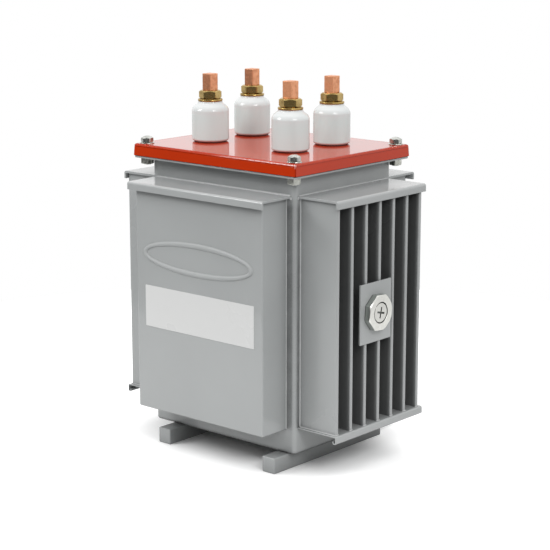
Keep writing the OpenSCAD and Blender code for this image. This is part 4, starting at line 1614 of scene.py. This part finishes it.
@dataclass
class Studio:
    """White floor, soft lamps and the camera at the photograph's angle."""

    azimuth: float = 41.0
    elevation: float = 12.51
    distance: float = 3.77218
    target: Triple = (-0.00239, -0.00016, 0.36338)
    lens: float = 113.15
    sensor: float = 36.0
    sky: Pair = (0.30, 1.42)
    sky_rise: Pair = (-0.1, 1.0)
    room_front: Pair = (0.0, 0.6)
    room_dim: float = 0.12
    room_rise: Pair = (-0.28, -0.02)
    room_low: float = 0.35
    floor_r: float = 1.5
    # floor tones inside and outside the painted shadow patch, for bounced light and for the camera
    floor_lit: Pair = (0.30, 0.62)
    floor_seen: Pair = (0.93, 1.12)
    floor_shine: float = 0.24
    shade_x: Pair = (-0.09, 0.155)
    shade_y: Pair = (-0.13, 0.14)
    shade_fade: float = 0.13
    # painted glow that the camera sees on the floor away from the object
    glow: float = 0.35
    glow_fade: Pair = (0.10, 0.50)
    # painted glow that lightens the shadow behind the right skid
    behind: float = 0.33
    behind_x: Pair = (0.14, 0.165)
    behind_y: Pair = (0.03, 0.17)

    def build(self) -> None:
        """Sets up the camera, the floor, the lamps and the world."""
        scene = bpy.context.scene
        scene.view_settings.view_transform = "Standard"
        self.camera(scene)
        self.floor(scene)
        SoftLamp("left_softbox", (-1.25, -1.75, 1.75), 19.0).build(scene)
        SoftLamp("right_softbox", (2.05, -0.95, 1.75), 17.0).build(scene)
        self.world(scene)

    def camera(self, scene: bpy.types.Scene) -> None:
        """Long lens that looks slightly down on the object."""
        data = bpy.data.cameras.new("photo_camera")
        data.sensor_width = self.sensor
        data.sensor_fit = "HORIZONTAL"
        data.lens = self.lens
        held = bpy.data.objects.new("photo_camera", data)
        scene.collection.objects.link(held)
        turn, lift = math.radians(self.azimuth), math.radians(self.elevation)
        back = Vector((
            math.sin(turn) * math.cos(lift), -math.cos(turn) * math.cos(lift), math.sin(lift)))
        held.location = Vector(self.target) + back * self.distance
        held.rotation_euler = (-back).to_track_quat("-Z", "Y").to_euler()
        scene.camera = held

    def floor(self, scene: bpy.types.Scene) -> None:
        """Round white floor that keeps the object's shadow, with a painted shadow patch under the object and
        painted glows: seen by the camera away from the patch and behind the right skid, and seen in
        reflections away from the patch.
        """
        bm = bmesh.new()
        bmesh.ops.create_circle(bm, cap_ends=True, segments=128, radius=self.floor_r)
        mesh = bpy.data.meshes.new("studio_floor")
        bm.to_mesh(mesh)
        bm.free()
        made = bpy.data.materials.new("floor_white")
        made.use_nodes = True
        tree = made.node_tree
        tree.nodes.remove(tree.nodes["Principled BSDF"])
        graph = Graph(tree)
        diffuse = graph.add("ShaderNodeBsdfDiffuse")
        away = self.from_foot(graph)
        near = graph.remap(away, 0.0, self.shade_fade)
        path = graph.add("ShaderNodeLightPath")
        plain, seen = (
            graph.mix(near, *((tone, tone, tone) for tone in tones))
            for tones in (self.floor_lit, self.floor_seen))
        graph.put(diffuse.inputs["Color"], graph.mix(path.outputs["Is Camera Ray"], plain, seen))
        # painted glow of the floor in reflections, away from the object
        shine = graph.times(graph.mirrored(path), graph.times(near, self.floor_shine))
        far = graph.remap(away, *self.glow_fade, 0.0, self.glow)
        across, along, _ = graph.here()
        behind = graph.times(
            graph.remap(across, *self.behind_x), graph.remap(along, *self.behind_y, 0.0, self.behind))
        far = graph.times(path.outputs["Is Camera Ray"], graph.math("MAXIMUM", far, behind))
        light = graph.add("ShaderNodeEmission")
        graph.put(light.inputs["Strength"], graph.math("ADD", shine, far))
        both = graph.add("ShaderNodeAddShader")
        graph.put(both.inputs[0], diffuse.outputs[0])
        graph.put(both.inputs[1], light.outputs[0])
        graph.put(tree.nodes["Material Output"].inputs["Surface"], both.outputs[0])
        mesh.materials.append(made)
        floor = bpy.data.objects.new("studio_floor", mesh)
        scene.collection.objects.link(floor)

    def from_foot(self, graph: Graph) -> Socket:
        """Distance of a point on the floor from the painted shadow patch under the object."""
        parts = []
        for part, (low, high) in zip(graph.here(), (self.shade_x, self.shade_y)):
            short = graph.math("SUBTRACT", low, part)
            past = graph.math("SUBTRACT", part, high)
            parts.append(graph.math("MAXIMUM", graph.math("MAXIMUM", short, past), 0.0))
        return graph.length(parts)

    def world(self, scene: bpy.types.Scene) -> None:
        """White surround, dimmer towards the room in front of the object."""
        held = bpy.data.worlds.new("white_room")
        scene.world = held
        held.use_nodes = True
        tree = held.node_tree
        graph = Graph(tree)
        background = tree.nodes["Background"]
        background.inputs["Color"].default_value = (1.0, 1.0, 1.0, 1.0)
        direction = graph.add("ShaderNodeTexCoord").outputs["Generated"]
        dot = graph.add("ShaderNodeVectorMath", operation="DOT_PRODUCT")
        graph.put(dot.inputs[0], direction)
        dot.inputs[1].default_value = (0.0, -1.0, 0.0)
        height = graph.split(direction)[2]
        room = graph.times(
            graph.remap(dot.outputs["Value"], *self.room_front, 1.0, self.room_dim),
            graph.remap(height, *self.room_rise, self.room_low, 1.0))
        path = graph.add("ShaderNodeLightPath")
        sky = graph.remap(height, *self.sky_rise, *self.sky)
        change = graph.times(graph.mirrored(path), graph.math("SUBTRACT", room, sky))
        light = graph.math("ADD", change, sky)
        beside = graph.math("SUBTRACT", 1.0, path.outputs["Is Camera Ray"])
        seen = graph.math("ADD", path.outputs["Is Camera Ray"], graph.times(beside, light))
        graph.put(background.inputs["Strength"], seen)


def clear_scene() -> None:
    """Takes away whatever stood in the scene before the frame."""
    kept = set(frame["nodes"].values()) | set(frame["bodies"].values())
    for item in list(bpy.data.objects):
        if item not in kept:
            bpy.data.objects.remove(item)


def main() -> None:
    """Builds every sub-assembly and the studio."""
    logging.basicConfig(level=logging.INFO, format="%(message)s")
    clear_scene()
    finishes = Finishes()
    parts = [
        TankBody(), MouthFlange(), PanLid(), LidBolts(), SkidPair(),
        SideBox(Wall.FRONT, "front"), SideBox(Wall.BACK, "back"),
        Radiator(Wall.RIGHT, "right"), Radiator(Wall.LEFT, "left"),
        SightPlug(), FrontFittings(),
    ]
    parts += [Bushing(f"{row}_{side}") for row in ("front", "back") for side in ("left", "right")]
    for part in parts:
        part.build(finishes)
    dress_node("bushing_seals", finishes.rubber)
    Studio().build()


if __name__ == "__main__":
    main()
